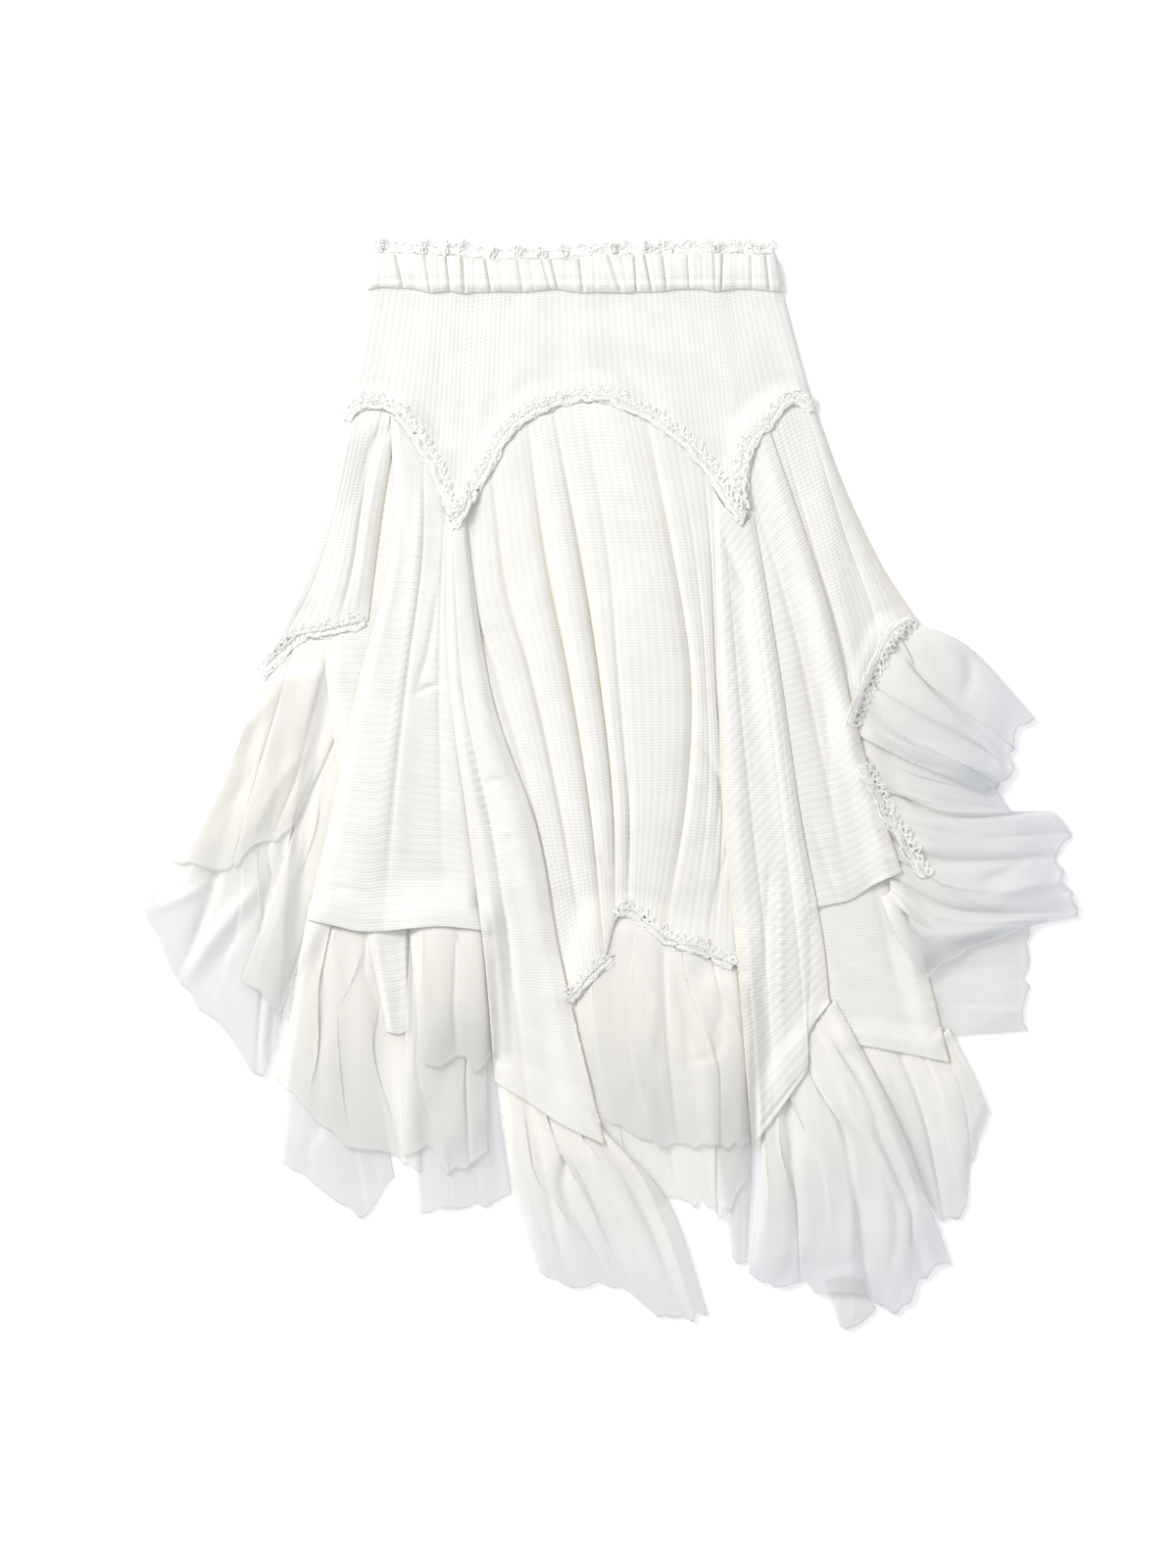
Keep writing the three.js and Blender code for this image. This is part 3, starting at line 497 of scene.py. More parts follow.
def shell(name, x, y, outer, inner, maps, finish):
    """Joins an outer and an inner side by a rim. Each map keeps two values for each place."""
    columns, rows = x.shape
    every = np.arange(rows)
    kept = np.array([*range(0, rows - 2, INNER_ROWS), rows - 1])

    def both_sides(outer_values, inner_values):
        return np.concatenate([
            np.stack([np.broadcast_to(v, x.shape)[:, chosen].T.ravel() for v in values], -1)
            for values, chosen in ((outer_values, every), (inner_values, kept))])

    start = columns * rows
    out = every[:, None] * columns + np.arange(columns)
    inside = start + np.arange(len(kept))[:, None] * columns + np.arange(columns)
    faces = grid_faces(columns, rows, 0).tolist()
    faces += grid_faces(columns, len(kept), start)[:, ::-1].tolist()
    for edge, under in ((out[0][::-1], inside[0][::-1]), (out[-1], inside[-1])):
        faces += np.stack([edge[:-1], under[:-1], under[1:], edge[1:]], -1).tolist()
    faces += [face[::-1] for face in side_rim(out[:, 0], inside[:, 0])]
    faces += side_rim(out[:, -1], inside[:, -1])
    turn = np.cross([x[-1, 0] - x[0, 0], y[-1, 0] - y[0, 0]], [x[0, -1] - x[0, 0], y[0, -1] - y[0, 0]])
    if turn > 0:
        faces = [face[::-1] for face in faces]
    maps = {label: both_sides(values, values) for label, values in maps.items()}
    return mesh_object(name, both_sides((x, y, outer), (x, y, inner)), faces, maps, finish)


def developed(points):
    """Width, length and area of a grid of points when smoothed flat, in metres. A scallop adds no width."""
    a = points[1:, :-1] - points[:-1, :-1]
    b = points[:-1, 1:] - points[:-1, :-1]
    areas = np.linalg.norm(np.cross(a, b), axis=2)
    across = areas / np.linalg.norm(b, axis=2)
    down = np.linalg.norm(np.diff(points, axis=1), axis=2)
    return across.sum(0).max() * METRE, down.sum(1).max() * METRE, areas.sum() * METRE * METRE


# %% [markdown]
# The courses give a panel its main folds. Creases that start or end within a panel are placed one by one,
# as a short curve with a half width and a depth in millimetres. A negative depth is a ridge.

# %% Single creases
CREASE = ("from_x", "from_y", "via_x", "via_y", "to_x", "to_y", "half_width", "depth")


def crease_relief(rows, x, y):
    """How far the creases of a table lower the cloth at places x, y."""
    total = np.zeros_like(x)
    t = np.linspace(0, 1, 25)
    for row in rows:
        mark = dict(zip(CREASE, row, strict=True))
        line = curve_weights([0, 0.5, 1], t) @ np.array(
            [[mark[end + "_x"], mark[end + "_y"]] for end in ("from", "via", "to")])
        px, py = in_mm(*line.T)
        reach = 4 * mark["half_width"]
        near = (x > px.min() - reach) & (x < px.max() + reach)
        near &= (y > py.min() - reach) & (y < py.max() + reach)
        far = np.hypot(x[near][:, None] - px, y[near][:, None] - py)
        q = far.min(1) / mark["half_width"]
        taper = np.sin(np.pi * np.clip(t[far.argmin(1)], 0.02, 0.98)) ** 0.6
        total[near] += mark["depth"] * taper * (0.6 * np.exp(-q * q) + 0.4 * np.exp(-2.5 * q))
    return total


# %% [markdown]
# The creases that start or end within a panel, one row each: three places of its line, its half width and
# its depth.

# %% Creases within the panels
CREASES = {
    "side_panel_left": [(404, 432, 380, 458, 364, 515, 6, 3), (362, 425, 352, 470, 342, 525, 8, -3)],
    "gore_left": [
        (400, 440, 406, 490, 412, 555, 3, 1.5), (432, 480, 425, 560, 414, 640, 7, -2),
        (447, 600, 438, 660, 424, 708, 3, 2.6), (424, 708, 436, 702, 450, 698, 3, 2.4),
        (320, 912, 350, 907, 385, 914, 4, 1),
    ],
    "gore_centre": [
        (742, 865, 730, 920, 725, 960, 3, 2.5), (643, 780, 642, 850, 640, 920, 2.5, 3),
        (610, 872, 616, 882, 624, 893, 4, 2), (472, 605, 503, 672, 530, 735, 2.5, 1.5),
        (715, 760, 734, 800, 728, 870, 3, 2),
    ],
    "gore_bias_left": [
        (470, 735, 500, 840, 515, 920, 5, 2), (515, 920, 521, 980, 522, 1040, 4, 1.2),
        (467, 690, 478, 712, 515, 755, 4, 2), (496, 800, 510, 796, 522, 807, 4, 1.5),
        (508, 846, 515, 849, 522, 852, 4, -1.2),
    ],
    "gore_bias_right": [
        (797, 860, 797, 960, 797, 1060, 4, -1.5), (785, 880, 782, 940, 780, 1000, 4, 2.5),
        (825, 880, 828, 950, 830, 1010, 5, 1.5), (800, 670, 803, 710, 808, 755, 3, 2.5),
        (735, 540, 750, 580, 770, 620, 5, 2), (770, 1158, 797, 1122, 826, 1085, 1.6, 1.5),
    ],
    "gore_right": [(825, 830, 845, 890, 858, 925, 2.5, 1.5), (838, 700, 845, 765, 850, 830, 4, 1.5)],
    "side_panel_right": [
        (845, 600, 865, 680, 875, 710, 3, 2), (850, 560, 862, 572, 878, 580, 3, 1),
        (856, 592, 868, 587, 880, 600, 3, 1),
    ],
    "ruffle_left_low": [
        (185, 1005, 225, 950, 262, 905, 6, -7), (200, 1015, 242, 955, 278, 905, 4, 2),
        (150, 930, 190, 915, 215, 900, 4, -4), (268, 1090, 270, 1050, 275, 1020, 3, -3),
    ],
    "ruffle_left_side": [
        (225, 770, 262, 730, 290, 700, 8, -2), (215, 850, 250, 800, 275, 770, 7, 1.5),
        (255, 860, 285, 800, 320, 760, 8, -2.5),
    ],
    "ruffle_centre": [(735, 1040, 732, 1072, 695, 1086, 3.5, 2.5), (660, 990, 668, 1030, 662, 1080, 6, -2)],
    "ruffle_centre_low": [(715, 1100, 735, 1130, 757, 1165, 2.5, 2)],
    "ruffle_centre_left": [
        (540, 1125, 560, 1220, 575, 1300, 4, 3), (555, 1150, 600, 1230, 625, 1300, 5, -5),
        (600, 1150, 645, 1215, 690, 1300, 5, 3),
    ],
    "ruffle_right_side": [
        (1000, 900, 1025, 890, 1045, 880, 5, 4), (960, 905, 995, 925, 1030, 932, 3, 3),
        (1010, 915, 1045, 905, 1075, 900, 7, -5), (900, 845, 935, 862, 960, 868, 4, -3),
    ],
    "ruffle_right_side_top": [
        (985, 665, 990, 690, 982, 715, 6, 4), (890, 745, 930, 775, 985, 790, 3, 3),
        (1000, 745, 1015, 770, 1022, 795, 5, -3),
    ],
    "ruffle_centre_right": [
        (850, 1130, 870, 1200, 868, 1290, 7, -5), (800, 1180, 812, 1240, 806, 1300, 5, 3),
        (900, 1190, 915, 1250, 905, 1310, 6, 3),
    ],
    "yoke_front": [
        (470, 300, 472, 400, 485, 470, 12, 1), (620, 350, 650, 400, 675, 440, 12, 1),
        (790, 355, 800, 385, 812, 405, 10, 1),
    ],
}

# %% [markdown]
# Between two courses the cloth stands on a crown and falls to each course as a rounded wall, steeper where
# the slit is narrow. At the panel's sides and hem the folds grow flatter, because a hem lies on the table.

# %% Folds between the courses
SLIT = 0.55
EDGE_SLIT = 0.25
FALL_REACH = 0.62
SKEW = 0.3


def fall(q, narrow):
    """How much of a dip is left at a distance q from its course, for a slit that is more or less narrow."""
    q = np.clip(1 - q, 0, 1)
    return (1 - narrow) * q ** 2 + narrow * q ** 7


def fold_relief(s, t, knots, dips, lean, crown, slit):
    """The height of the folds at shares s across and t down the panel."""
    i = np.clip(np.searchsorted(knots, s, side="right") - 1, 0, len(knots) - 2)
    w = (s - knots[i]) / (knots[i + 1] - knots[i])
    slits = np.full(len(knots), slit)
    slits[[0, -1]] = EDGE_SLIT * slit
    left = fall(w / (FALL_REACH + SKEW * lean[i]), slits[i])
    right = fall((1 - w) / (FALL_REACH - SKEW * lean[i + 1]), slits[i + 1])
    dips = through_three(dips, t)
    return through_three(crown, t) - dips[i] * left[:, None] - dips[i + 1] * right[:, None]


# %% [markdown]
# One function lays a panel. It finds the places of a fine grid on the curves, shifts them where the hem
# frays or a pleat turns, raises the folds, takes the single creases off, adds small swells, and sets the
# wall on the cloth so far. A look gives the crown at head, middle and foot, the grid's step across and
# down, both in millimetres, and how much of the folds is left along the two sides and at the hem.

# %% Lay a panel
RIM_MM = 10
RIM_WALL = 0.25
SIDE_REACH = 0.35
STEEPEST = 2.2
FRAY_MM = 7
SWELL_WIDE_MM = 22
SWELL_LONG_MM = 70
FEWEST_STEPS = 8
sheets = []


def unit(vectors):
    return vectors / (np.linalg.norm(vectors, axis=2, keepdims=True) + 1e-9)


def height_below(x, y, settle, edge):
    """What a panel rests on: smoothed cloth below its middle, and the cloth as it is below its edges."""
    gapped = np.where(laid > 0, laid + GAP, 0)
    support = height_at(blur(spread(gapped, settle), settle), x, y)
    close = height_at(blur(spread(gapped, 1), 1), x, y)
    return close + (support - close) * edge


def lay_cloth(name, rows, crown, finish, wall, step, slit=SLIT, settle=4, hem_rest=0.8, ribs=None, swell=0.6,
              detail=None, pleats=None, held="laid", hem=0.0, whiteness=0.0, depth=1.0, sides=(1, 1),
              hem_at=0.75, cover_from=0.0, seed=1):
    """Drafts a panel from its courses and lays it on the cloth so far."""
    places, dips, lean = course_table(rows)
    crown = np.array([crown], float)
    gaps = np.linalg.norm(np.diff(places, axis=0), axis=2).mean(1)
    knots = np.concatenate([[0], np.cumsum(gaps)])
    width = knots[-1] * MM
    knots = knots / knots[-1]
    length = np.linalg.norm(np.diff(places, axis=1), axis=2).sum(1).mean() * MM
    s = np.linspace(0, 1, max(FEWEST_STEPS, round(width / step[0])) + 1)
    t = np.linspace(0, 1, max(FEWEST_STEPS, round(length / step[1])) + 1)
    down = curve_weights(np.linspace(0, 1, places.shape[1]), t)
    view = np.einsum("sc,tk,ckd->dst", curve_weights(knots, s), down, places)
    place = np.stack(in_mm(*view), -1)
    a = s[:, None] * width
    b = t[None, :] * length
    from_side = np.minimum(s, 1 - s)[:, None] * width
    fray = hem * soft_noise(a / FRAY_MM, a * 0, seed + 5) * t ** 12
    place = place + unit(np.gradient(place, axis=1)) * fray[..., None]
    folded = 0
    if pleats is not None:
        shift, folded = pleats(a, b, from_side)
        place = place + unit(np.gradient(place, axis=0)) * shift[..., None]
    x, y = np.moveaxis(place, -1, 0)

    edge = np.minimum(1, from_side / RIM_MM)
    relief = depth * fold_relief(s, t, knots, dips, lean, crown, slit)
    swells = 1 + soft_noise(a / SWELL_WIDE_MM, b / SWELL_LONG_MM, seed)
    relief = np.maximum(relief, 0) + swell * edge * swells
    # Chiffon: the piece's painted lightness, a painted light that makes the whole piece lighter than others
    # of the same chiffon.
    painted_shading = whiteness
    if finish != "chiffon":
        # Knit: painted shade, stronger the deeper the cloth lies below its crown, which the material turns
        # into a warmer colour.
        crowned = depth * through_three(crown, t)
        sunk = np.clip(1 - relief / np.maximum(crowned, 1), 0, 1)
        painted_shading = 0.8 * sunk ** 1.5 * np.clip(crowned / 3, 0, 1)
    for share, near in zip(sides, (s, 1 - s)):
        relief = relief * (share + (1 - share) * ease(np.clip(near / SIDE_REACH, 0, 1))[:, None])
    near_hem = np.clip((t - hem_at) / (1 - hem_at), 0, 1)[None, :]
    relief = (relief + folded) * (1 - hem_rest * ease(near_hem))
    relief = np.maximum(relief - crease_relief(CREASES.get(name, ()), x, y), 0)
    if detail is not None:
        relief = relief + detail(a, b, t[None, :])

    inner = height_below(x, y, settle, edge) + relief
    rise = [np.gradient(inner, axis=k) / (np.hypot(np.gradient(x, axis=k), np.gradient(y, axis=k)) + 1e-6)
            for k in (0, 1)]
    stretch = np.minimum(np.sqrt(1 + rise[0] ** 2 + rise[1] ** 2), STEEPEST)
    from_rim = np.minimum(edge, np.minimum(1, (1 - t) * length / RIM_MM)[None, :])
    thin = RIM_WALL + (1 - RIM_WALL) * from_rim
    smooth = inner + wall * thin * stretch
    outer = smooth if ribs is None else smooth + thin * ribs(a, b, x, y)
    below = add_to_map(name, x, y, outer)
    down_ruffle = cover_from + (1 - cover_from) * t[None, :]
    piece = shell(name, x, y, outer, inner, {"cloth": (a, b), "share": (down_ruffle, painted_shading)}, finish)
    wide, long, area = developed(np.stack([x, y, smooth], -1))
    sheets.append({"piece": piece, "held": held, "flat": (wide, long), "area": min(area, wide * long),
                   "on": below})
    print(f"{name}: {wide / METRE:.0f} by {long / METRE:.0f} mm, {len(piece.data.polygons)} faces,"
          f" {inner.min():.1f} to {outer.max():.1f} mm high")


# %% [markdown]
# The knit panels, from the left to the right of the view, the back ones last. Each row is one course: its
# places from head to foot, its dips at head, middle and foot, and its lean where it has one.

# %% Knit panels
KNIT = {
    "side_panel_left": [
        (352, 420, 335, 490, 308, 590, 262, 690, 1, 5, 3),
        (366, 410, 350, 495, 325, 585, 290, 655, 0, 1, 1),
        (380, 406, 360, 500, 343, 582, 318, 646, 0, 0, 0),
        (394, 409, 372, 500, 360, 580, 345, 641, 1, 5, 2, -0.5),
        (408, 419, 393, 505, 383, 578, 376, 634, 1, 5, 3),
    ],
    "gore_left": [
        (399, 416, 399, 560, 366, 695, 340, 820, 313, 938, 1, 7, 4),
        (410, 420, 411, 562, 385, 696, 362, 820, 340, 944, 0, 0, 1),
        (421, 434, 421, 564, 402, 698, 383, 822, 366, 950, 0, 1, 0),
        (433, 452, 431, 566, 415, 692, 402, 816, 391, 950, 1, 7, 3, -0.4),
        (445, 472, 440, 570, 431, 700, 425, 822, 420, 947, 0, 0, 0),
        (456, 494, 451, 576, 448, 702, 450, 825, 453, 945, 1, 4, 2, 0.3),
        (470, 526, 464, 592, 470, 706, 484, 832, 500, 950, 1, 7, 4),
    ],
    "gore_centre": [
        (462, 530, 458, 620, 490, 740, 530, 860, 566, 1014, 1, 6, 3),
        (480, 500, 477, 600, 506, 690, 545, 830, 582, 1020, 1, 7, 4, 0.3),
        (500, 460, 516, 596, 542, 690, 572, 830, 600, 997, 1, 8, 4, 0.2),
        (536, 417, 556, 565, 580, 690, 602, 830, 617, 978, 1, 11, 6, 0.3),
        (562, 405, 591, 560, 611, 690, 625, 820, 628, 940, 1, 12, 6, 0.2),
        (592, 397, 620, 560, 631, 690, 641, 820, 642, 927, 0, 3, 6),
        (624, 398, 654, 560, 666, 690, 666, 820, 657, 934, 0, 0, 0),
        (656, 412, 686, 560, 705, 690, 700, 820, 677, 954, 1, 10, 6, -0.3),
        (686, 432, 708, 560, 720, 690, 722, 820, 703, 966, 0, 2, 1),
        (716, 460, 725, 565, 730, 690, 737, 820, 728, 976, 0, 6, 6),
        (760, 522, 744, 604, 748, 700, 755, 825, 766, 991, 1, 5, 3),
    ],
    "gore_bias_left": [
        (455, 522, 458, 690, 478, 845, 495, 980, 505, 1104, 1, 5, 4),
        (461, 518, 472, 700, 501, 845, 521, 980, 538, 1124, 0, 4, 4, -0.3),
        (467, 516, 486, 706, 523, 845, 545, 980, 575, 1148, 0, 0, 0),
        (473, 518, 502, 708, 548, 845, 573, 980, 618, 1168, 1, 6, 4),
    ],
    "gore_bias_right": [
        (728, 500, 732, 690, 737, 830, 750, 960, 767, 1170, 1, 9, 4),
        (738, 516, 752, 690, 766, 830, 780, 960, 790, 1140, 0, 4, 4, 0.4),
        (748, 528, 769, 690, 784, 830, 796, 960, 808, 1114, 0, 0, 0),
        (757, 536, 781, 690, 798, 830, 814, 960, 824, 1088, 0, 4, 3, -0.3),
        (763, 532, 789, 690, 807, 830, 826, 958, 825, 1054, 0, 2, 2),
        (769, 527, 796, 690, 816, 830, 839, 952, 847, 1023, 1, 9, 4),
    ],
    "gore_right": [
        (754, 520, 772, 650, 796, 785, 828, 927, 1, 6, 4),
        (753, 490, 789, 640, 816, 780, 847, 923, 0, 0, 1),
        (755, 466, 806, 632, 838, 775, 868, 918, 0, 5, 2, 0.3),
        (763, 442, 824, 622, 856, 770, 893, 902, 0, 0, 0),
        (780, 424, 842, 608, 876, 748, 920, 890, 1, 6, 4),
    ],
    "side_panel_right": [
        (774, 428, 812, 560, 845, 680, 874, 776, 1, 5, 3),
        (788, 416, 828, 552, 860, 670, 868, 746, 0, 3, 1),
        (802, 404, 844, 545, 876, 655, 876, 714, 0, 0, 0),
        (818, 403, 857, 532, 890, 625, 895, 678, 0, 3, 1),
        (832, 418, 862, 498, 898, 574, 934, 630, 1, 5, 3),
    ],
    "gore_back_left": [
        (358, 436, 330, 620, 352, 830, 395, 1053, 0, 1, 2),
        (400, 436, 375, 620, 384, 830, 409, 1055, 0, 0, 0),
        (446, 474, 430, 640, 420, 830, 420, 1046, 0, 1, 2),
    ],
    "gore_back_centre": [
        (436, 462, 426, 680, 440, 880, 0, 1, 1), (520, 452, 525, 680, 525, 905, 0, 0, 0),
        (600, 420, 610, 680, 615, 905, 0, 1, 1), (700, 452, 710, 680, 712, 905, 0, 0, 0),
        (782, 436, 806, 680, 822, 880, 0, 1, 1),
    ],
    "gore_back_right": [
        (776, 432, 800, 800, 848, 1062, 0, 2, 2), (796, 426, 838, 800, 888, 1068, 0, 0, 0),
        (812, 424, 872, 800, 930, 1076, 0, 1, 1), (826, 430, 902, 800, 969, 1084, 0, 2, 2),
    ],
}

# %% [markdown]
# The chiffon ruffles, each from its gathered head to its raw hem. Every second course is a fold.

# %% Chiffon ruffles
CHIFFON = {
    "ruffle_left_low": [
        (262, 705, 205, 830, 146, 926, 0, 2, 2), (275, 700, 232, 850, 186, 1006, 1, 3, 4, 0.2),
        (288, 695, 256, 862, 223, 1046, 0, 0, 0), (300, 692, 276, 880, 266, 1099, 1, 3, 4, -0.2),
        (312, 690, 290, 880, 278, 1077, 0, 0, 0), (324, 690, 300, 850, 288, 1040, 0, 2, 2),
    ],
    "ruffle_left_point": [
        (318, 950, 298, 1085, 288, 1185, 0, 1, 1), (336, 950, 324, 1100, 330, 1215, 0, 0, 0),
        (354, 950, 350, 1110, 371, 1240, 0, 1, 2), (378, 950, 384, 1090, 402, 1199, 0, 1, 1),
    ],
    "ruffle_left_gore_low": [
        (430, 950, 420, 1110, 429, 1238, 0, 1, 1), (452, 950, 454, 1110, 460, 1233, 0, 0, 0),
        (475, 950, 483, 1110, 491, 1230, 0, 2, 2), (500, 950, 506, 1100, 522, 1220, 0, 1, 1),
    ],
    "ruffle_right_point": [
        (842, 1306, 846, 1322, 851, 1335, 0, 1, 1), (861, 1302, 859, 1330, 861, 1357, 0, 0, 0),
        (882, 1306, 886, 1322, 895, 1336, 0, 1, 1),
    ],
    "ruffle_right_square": [
        (926, 958, 990, 950, 1050, 944, 0, 1, 1), (934, 992, 993, 985, 1049, 980, 0, 0, 0),
        (944, 1026, 996, 1021, 1047, 1018, 0, 1, 1), (956, 1058, 1000, 1055, 1045, 1052, 0, 1, 1),
    ],
    "ruffle_right_back": [
        (868, 1054, 898, 1130, 930, 1202, 1, 2, 2), (890, 1057, 920, 1135, 950, 1230, 0, 0, 0),
        (912, 1060, 942, 1138, 964, 1246, 1, 4, 4), (932, 1064, 962, 1135, 985, 1231, 0, 0, 0),
        (950, 1064, 982, 1125, 992, 1185, 1, 3, 3), (968, 1048, 994, 1100, 1010, 1136, 1, 2, 2),
    ],
    "ruffle_right_side_top": [
        (930, 634, 988, 660, 1056, 733, 1, 3, 2), (913, 640, 975, 690, 1036, 748, 0, 0, 2),
        (896, 662, 960, 712, 1033, 772, 1, 5, 4), (885, 688, 945, 732, 1030, 796, 0, 0, 0),
        (872, 714, 932, 752, 1018, 801, 1, 5, 4), (862, 744, 920, 774, 1000, 808, 1, 3, 2),
    ],
    "ruffle_right_side": [
        (862, 735, 926, 762, 1016, 792, 1, 3, 3), (872, 774, 945, 812, 1031, 827, 0, 0, 3),
        (884, 798, 962, 832, 1076, 829, 1, 6, 0), (888, 826, 966, 854, 1091, 850, 0, 0, 3),
        (894, 851, 970, 877, 1080, 874, 1, 6, 5), (900, 874, 974, 903, 1090, 908, 0, 0, 0),
        (905, 892, 974, 927, 1100, 931, 1, 5, 2), (908, 905, 958, 943, 1050, 946, 0, 0, 0),
        (905, 912, 936, 950, 973, 978, 1, 3, 2), (898, 915, 914, 955, 946, 1000, 0, 1, 1),
    ],
    "ruffle_left_side": [
        (266, 682, 228, 790, 174, 878, 1, 3, 3), (284, 662, 246, 788, 205, 884, 0, 0, 0),
        (300, 647, 266, 782, 236, 886, 1, 4, 4, 0.3), (320, 640, 286, 775, 256, 866, 0, 0, 0),
        (345, 634, 312, 765, 280, 858, 1, 4, 4, 0.3), (376, 628, 346, 740, 299, 845, 1, 3, 3),
    ],
    "ruffle_left_inner": [
        (354, 715, 300, 850, 247, 1001, 1, 3, 3), (360, 730, 315, 868, 266, 1014, 0, 0, 0),
        (366, 745, 328, 880, 283, 1031, 1, 4, 4, 0.3), (376, 758, 344, 882, 287, 1032, 0, 0, 0),
        (388, 770, 362, 885, 312, 932, 1, 3, 3),
    ],
    "ruffle_left_gore": [
        (316, 920, 298, 1020, 280, 1100, 1, 3, 3), (328, 924, 316, 1030, 302, 1120, 0, 0, 0),
        (341, 926, 332, 1035, 330, 1149, 1, 4, 4), (354, 928, 350, 1040, 364, 1172, 0, 0, 0),
        (370, 930, 382, 1045, 404, 1181, 1, 4, 4), (398, 930, 422, 1060, 430, 1199, 1, 3, 3),
    ],
    "ruffle_left_gore_mid": [
        (420, 935, 413, 1065, 412, 1180, 1, 3, 3), (432, 935, 430, 1080, 440, 1172, 0, 1, 1),
        (446, 935, 449, 1080, 456, 1196, 0, 0, 0), (470, 935, 473, 1080, 478, 1188, 1, 4, 4),
        (494, 935, 497, 1080, 498, 1178, 1, 3, 3),
    ],
    "ruffle_left_gore_top": [
        (415, 926, 424, 1010, 428, 1080, 1, 3, 3), (438, 927, 442, 1015, 446, 1090, 0, 0, 0),
        (458, 927, 463, 1010, 468, 1077, 1, 4, 4), (478, 929, 485, 1010, 488, 1092, 0, 0, 0),
        (500, 931, 504, 1015, 507, 1070, 1, 3, 3),
    ],
    "ruffle_centre_left": [
        (510, 1088, 519, 1190, 550, 1298, 1, 3, 3), (532, 1100, 549, 1210, 582, 1312, 0, 0, 0),
        (552, 1112, 577, 1216, 628, 1312, 1, 5, 5, 0.3), (577, 1126, 614, 1220, 668, 1340, 0, 0, 0),
        (600, 1140, 648, 1218, 700, 1346, 1, 4, 4), (616, 1152, 682, 1226, 722, 1338, 1, 3, 3),
    ],
    "ruffle_centre_strip": [
        (715, 1010, 732, 1160, 747, 1284, 1, 2, 2), (738, 1010, 750, 1160, 755, 1291, 0, 0, 0),
        (762, 1010, 768, 1160, 762, 1286, 1, 2, 2),
    ],
    "ruffle_centre_low": [
        (596, 946, 572, 1050, 606, 1180, 1, 3, 3), (636, 950, 632, 1080, 668, 1218, 0, 0, 0),
        (666, 955, 668, 1085, 695, 1226, 1, 4, 4), (690, 962, 697, 1090, 715, 1229, 0, 0, 0),
        (716, 970, 728, 1095, 738, 1239, 1, 4, 4), (760, 985, 768, 1090, 763, 1200, 1, 3, 3),
    ],
    "ruffle_centre": [
        (606, 922, 588, 1030, 616, 1142, 1, 3, 3), (650, 930, 650, 1050, 670, 1168, 0, 0, 0),
        (676, 944, 681, 1060, 691, 1170, 1, 4, 4), (702, 955, 706, 1060, 713, 1169, 0, 0, 0),
        (728, 963, 733, 1065, 739, 1170, 1, 4, 4), (761, 977, 765, 1070, 764, 1166, 1, 3, 3),
    ],
    "ruffle_centre_right": [
        (778, 1128, 773, 1225, 764, 1299, 1, 3, 2), (786, 1113, 791, 1225, 790, 1313, 0, 0, 0),
        (795, 1096, 814, 1215, 815, 1308, 1, 5, 4), (806, 1080, 840, 1205, 842, 1319, 0, 0, 0),
        (817, 1068, 865, 1195, 889, 1325, 1, 5, 4), (827, 1056, 888, 1182, 915, 1341, 0, 0, 0),
        (836, 1036, 906, 1168, 944, 1302, 1, 4, 4), (852, 1020, 918, 1148, 970, 1288, 1, 3, 2),
    ],
}

# %% [markdown]
# The ribs run down the yoke, the side panels and the centre gore, and across the other gores, because those
# were cut sideways. On the two long gores they lie on the bias. A rib is round on top with a narrow valley
# beside it, so a cosine is raised to a power under one.

# %% Ribs
RIB_MM = 5.9
CROSS_RIB_MM = 6.8
BIAS_RIB_MM = 6.4
FINE_RIB_MM = 3.6
CASING_RIB_MM = 4.9
RIB_HEIGHT = 0.29
GATHER_MM = 6.0


def rib(u, height=RIB_HEIGHT):
    return height * (0.5 - 0.5 * np.cos(2 * np.pi * u)) ** 0.4


def ribs_down(a, b, x, y):
    return rib((a + 0.5 * soft_noise(a / 60, b / 60, 3)) / RIB_MM)


def ribs_across(a, b, x, y):
    return rib((b + 1.5 * soft_noise(a / 50, b / 50, 4)) / CROSS_RIB_MM)


def ribs_bias(degrees, height=RIB_HEIGHT):
    angle = math.radians(degrees)

    def ribs(a, b, x, y):
        across = y * math.cos(angle) - x * math.sin(angle)
        return rib((across + 1.5 * soft_noise(a / 50, b / 50, 5)) / BIAS_RIB_MM, height)
    return ribs


def ribs_fine(a, b, x, y):
    return rib(b / FINE_RIB_MM, 0.5) * (0.7 + 0.3 * np.cos(2 * np.pi * a / FINE_RIB_MM))


def ribs_casing(a, b, x, y):
    return rib(a / CASING_RIB_MM, 0.3)


def gathers(seed, height):
    """Wrinkles that run down from a gathered seam and spread into wider folds at the hem."""
    def detail(a, b, t):
        fine = 0.5 + 0.5 * soft_noise(a / GATHER_MM, b / 45, seed)
        broad = 0.5 + 0.5 * soft_noise(a / (2.4 * GATHER_MM) + 7, b / 70, seed + 1)
        return height * (fine ** 1.5 * (1 - 0.6 * t) + 1.3 * broad * t)
    return detail


# %% [markdown]
# Chiffon falls in knife pleats. Across a pleat the cloth runs forward, turns back under itself and runs
# forward again, so that three layers lie over each other. The pleats wander, widen and die out at random.

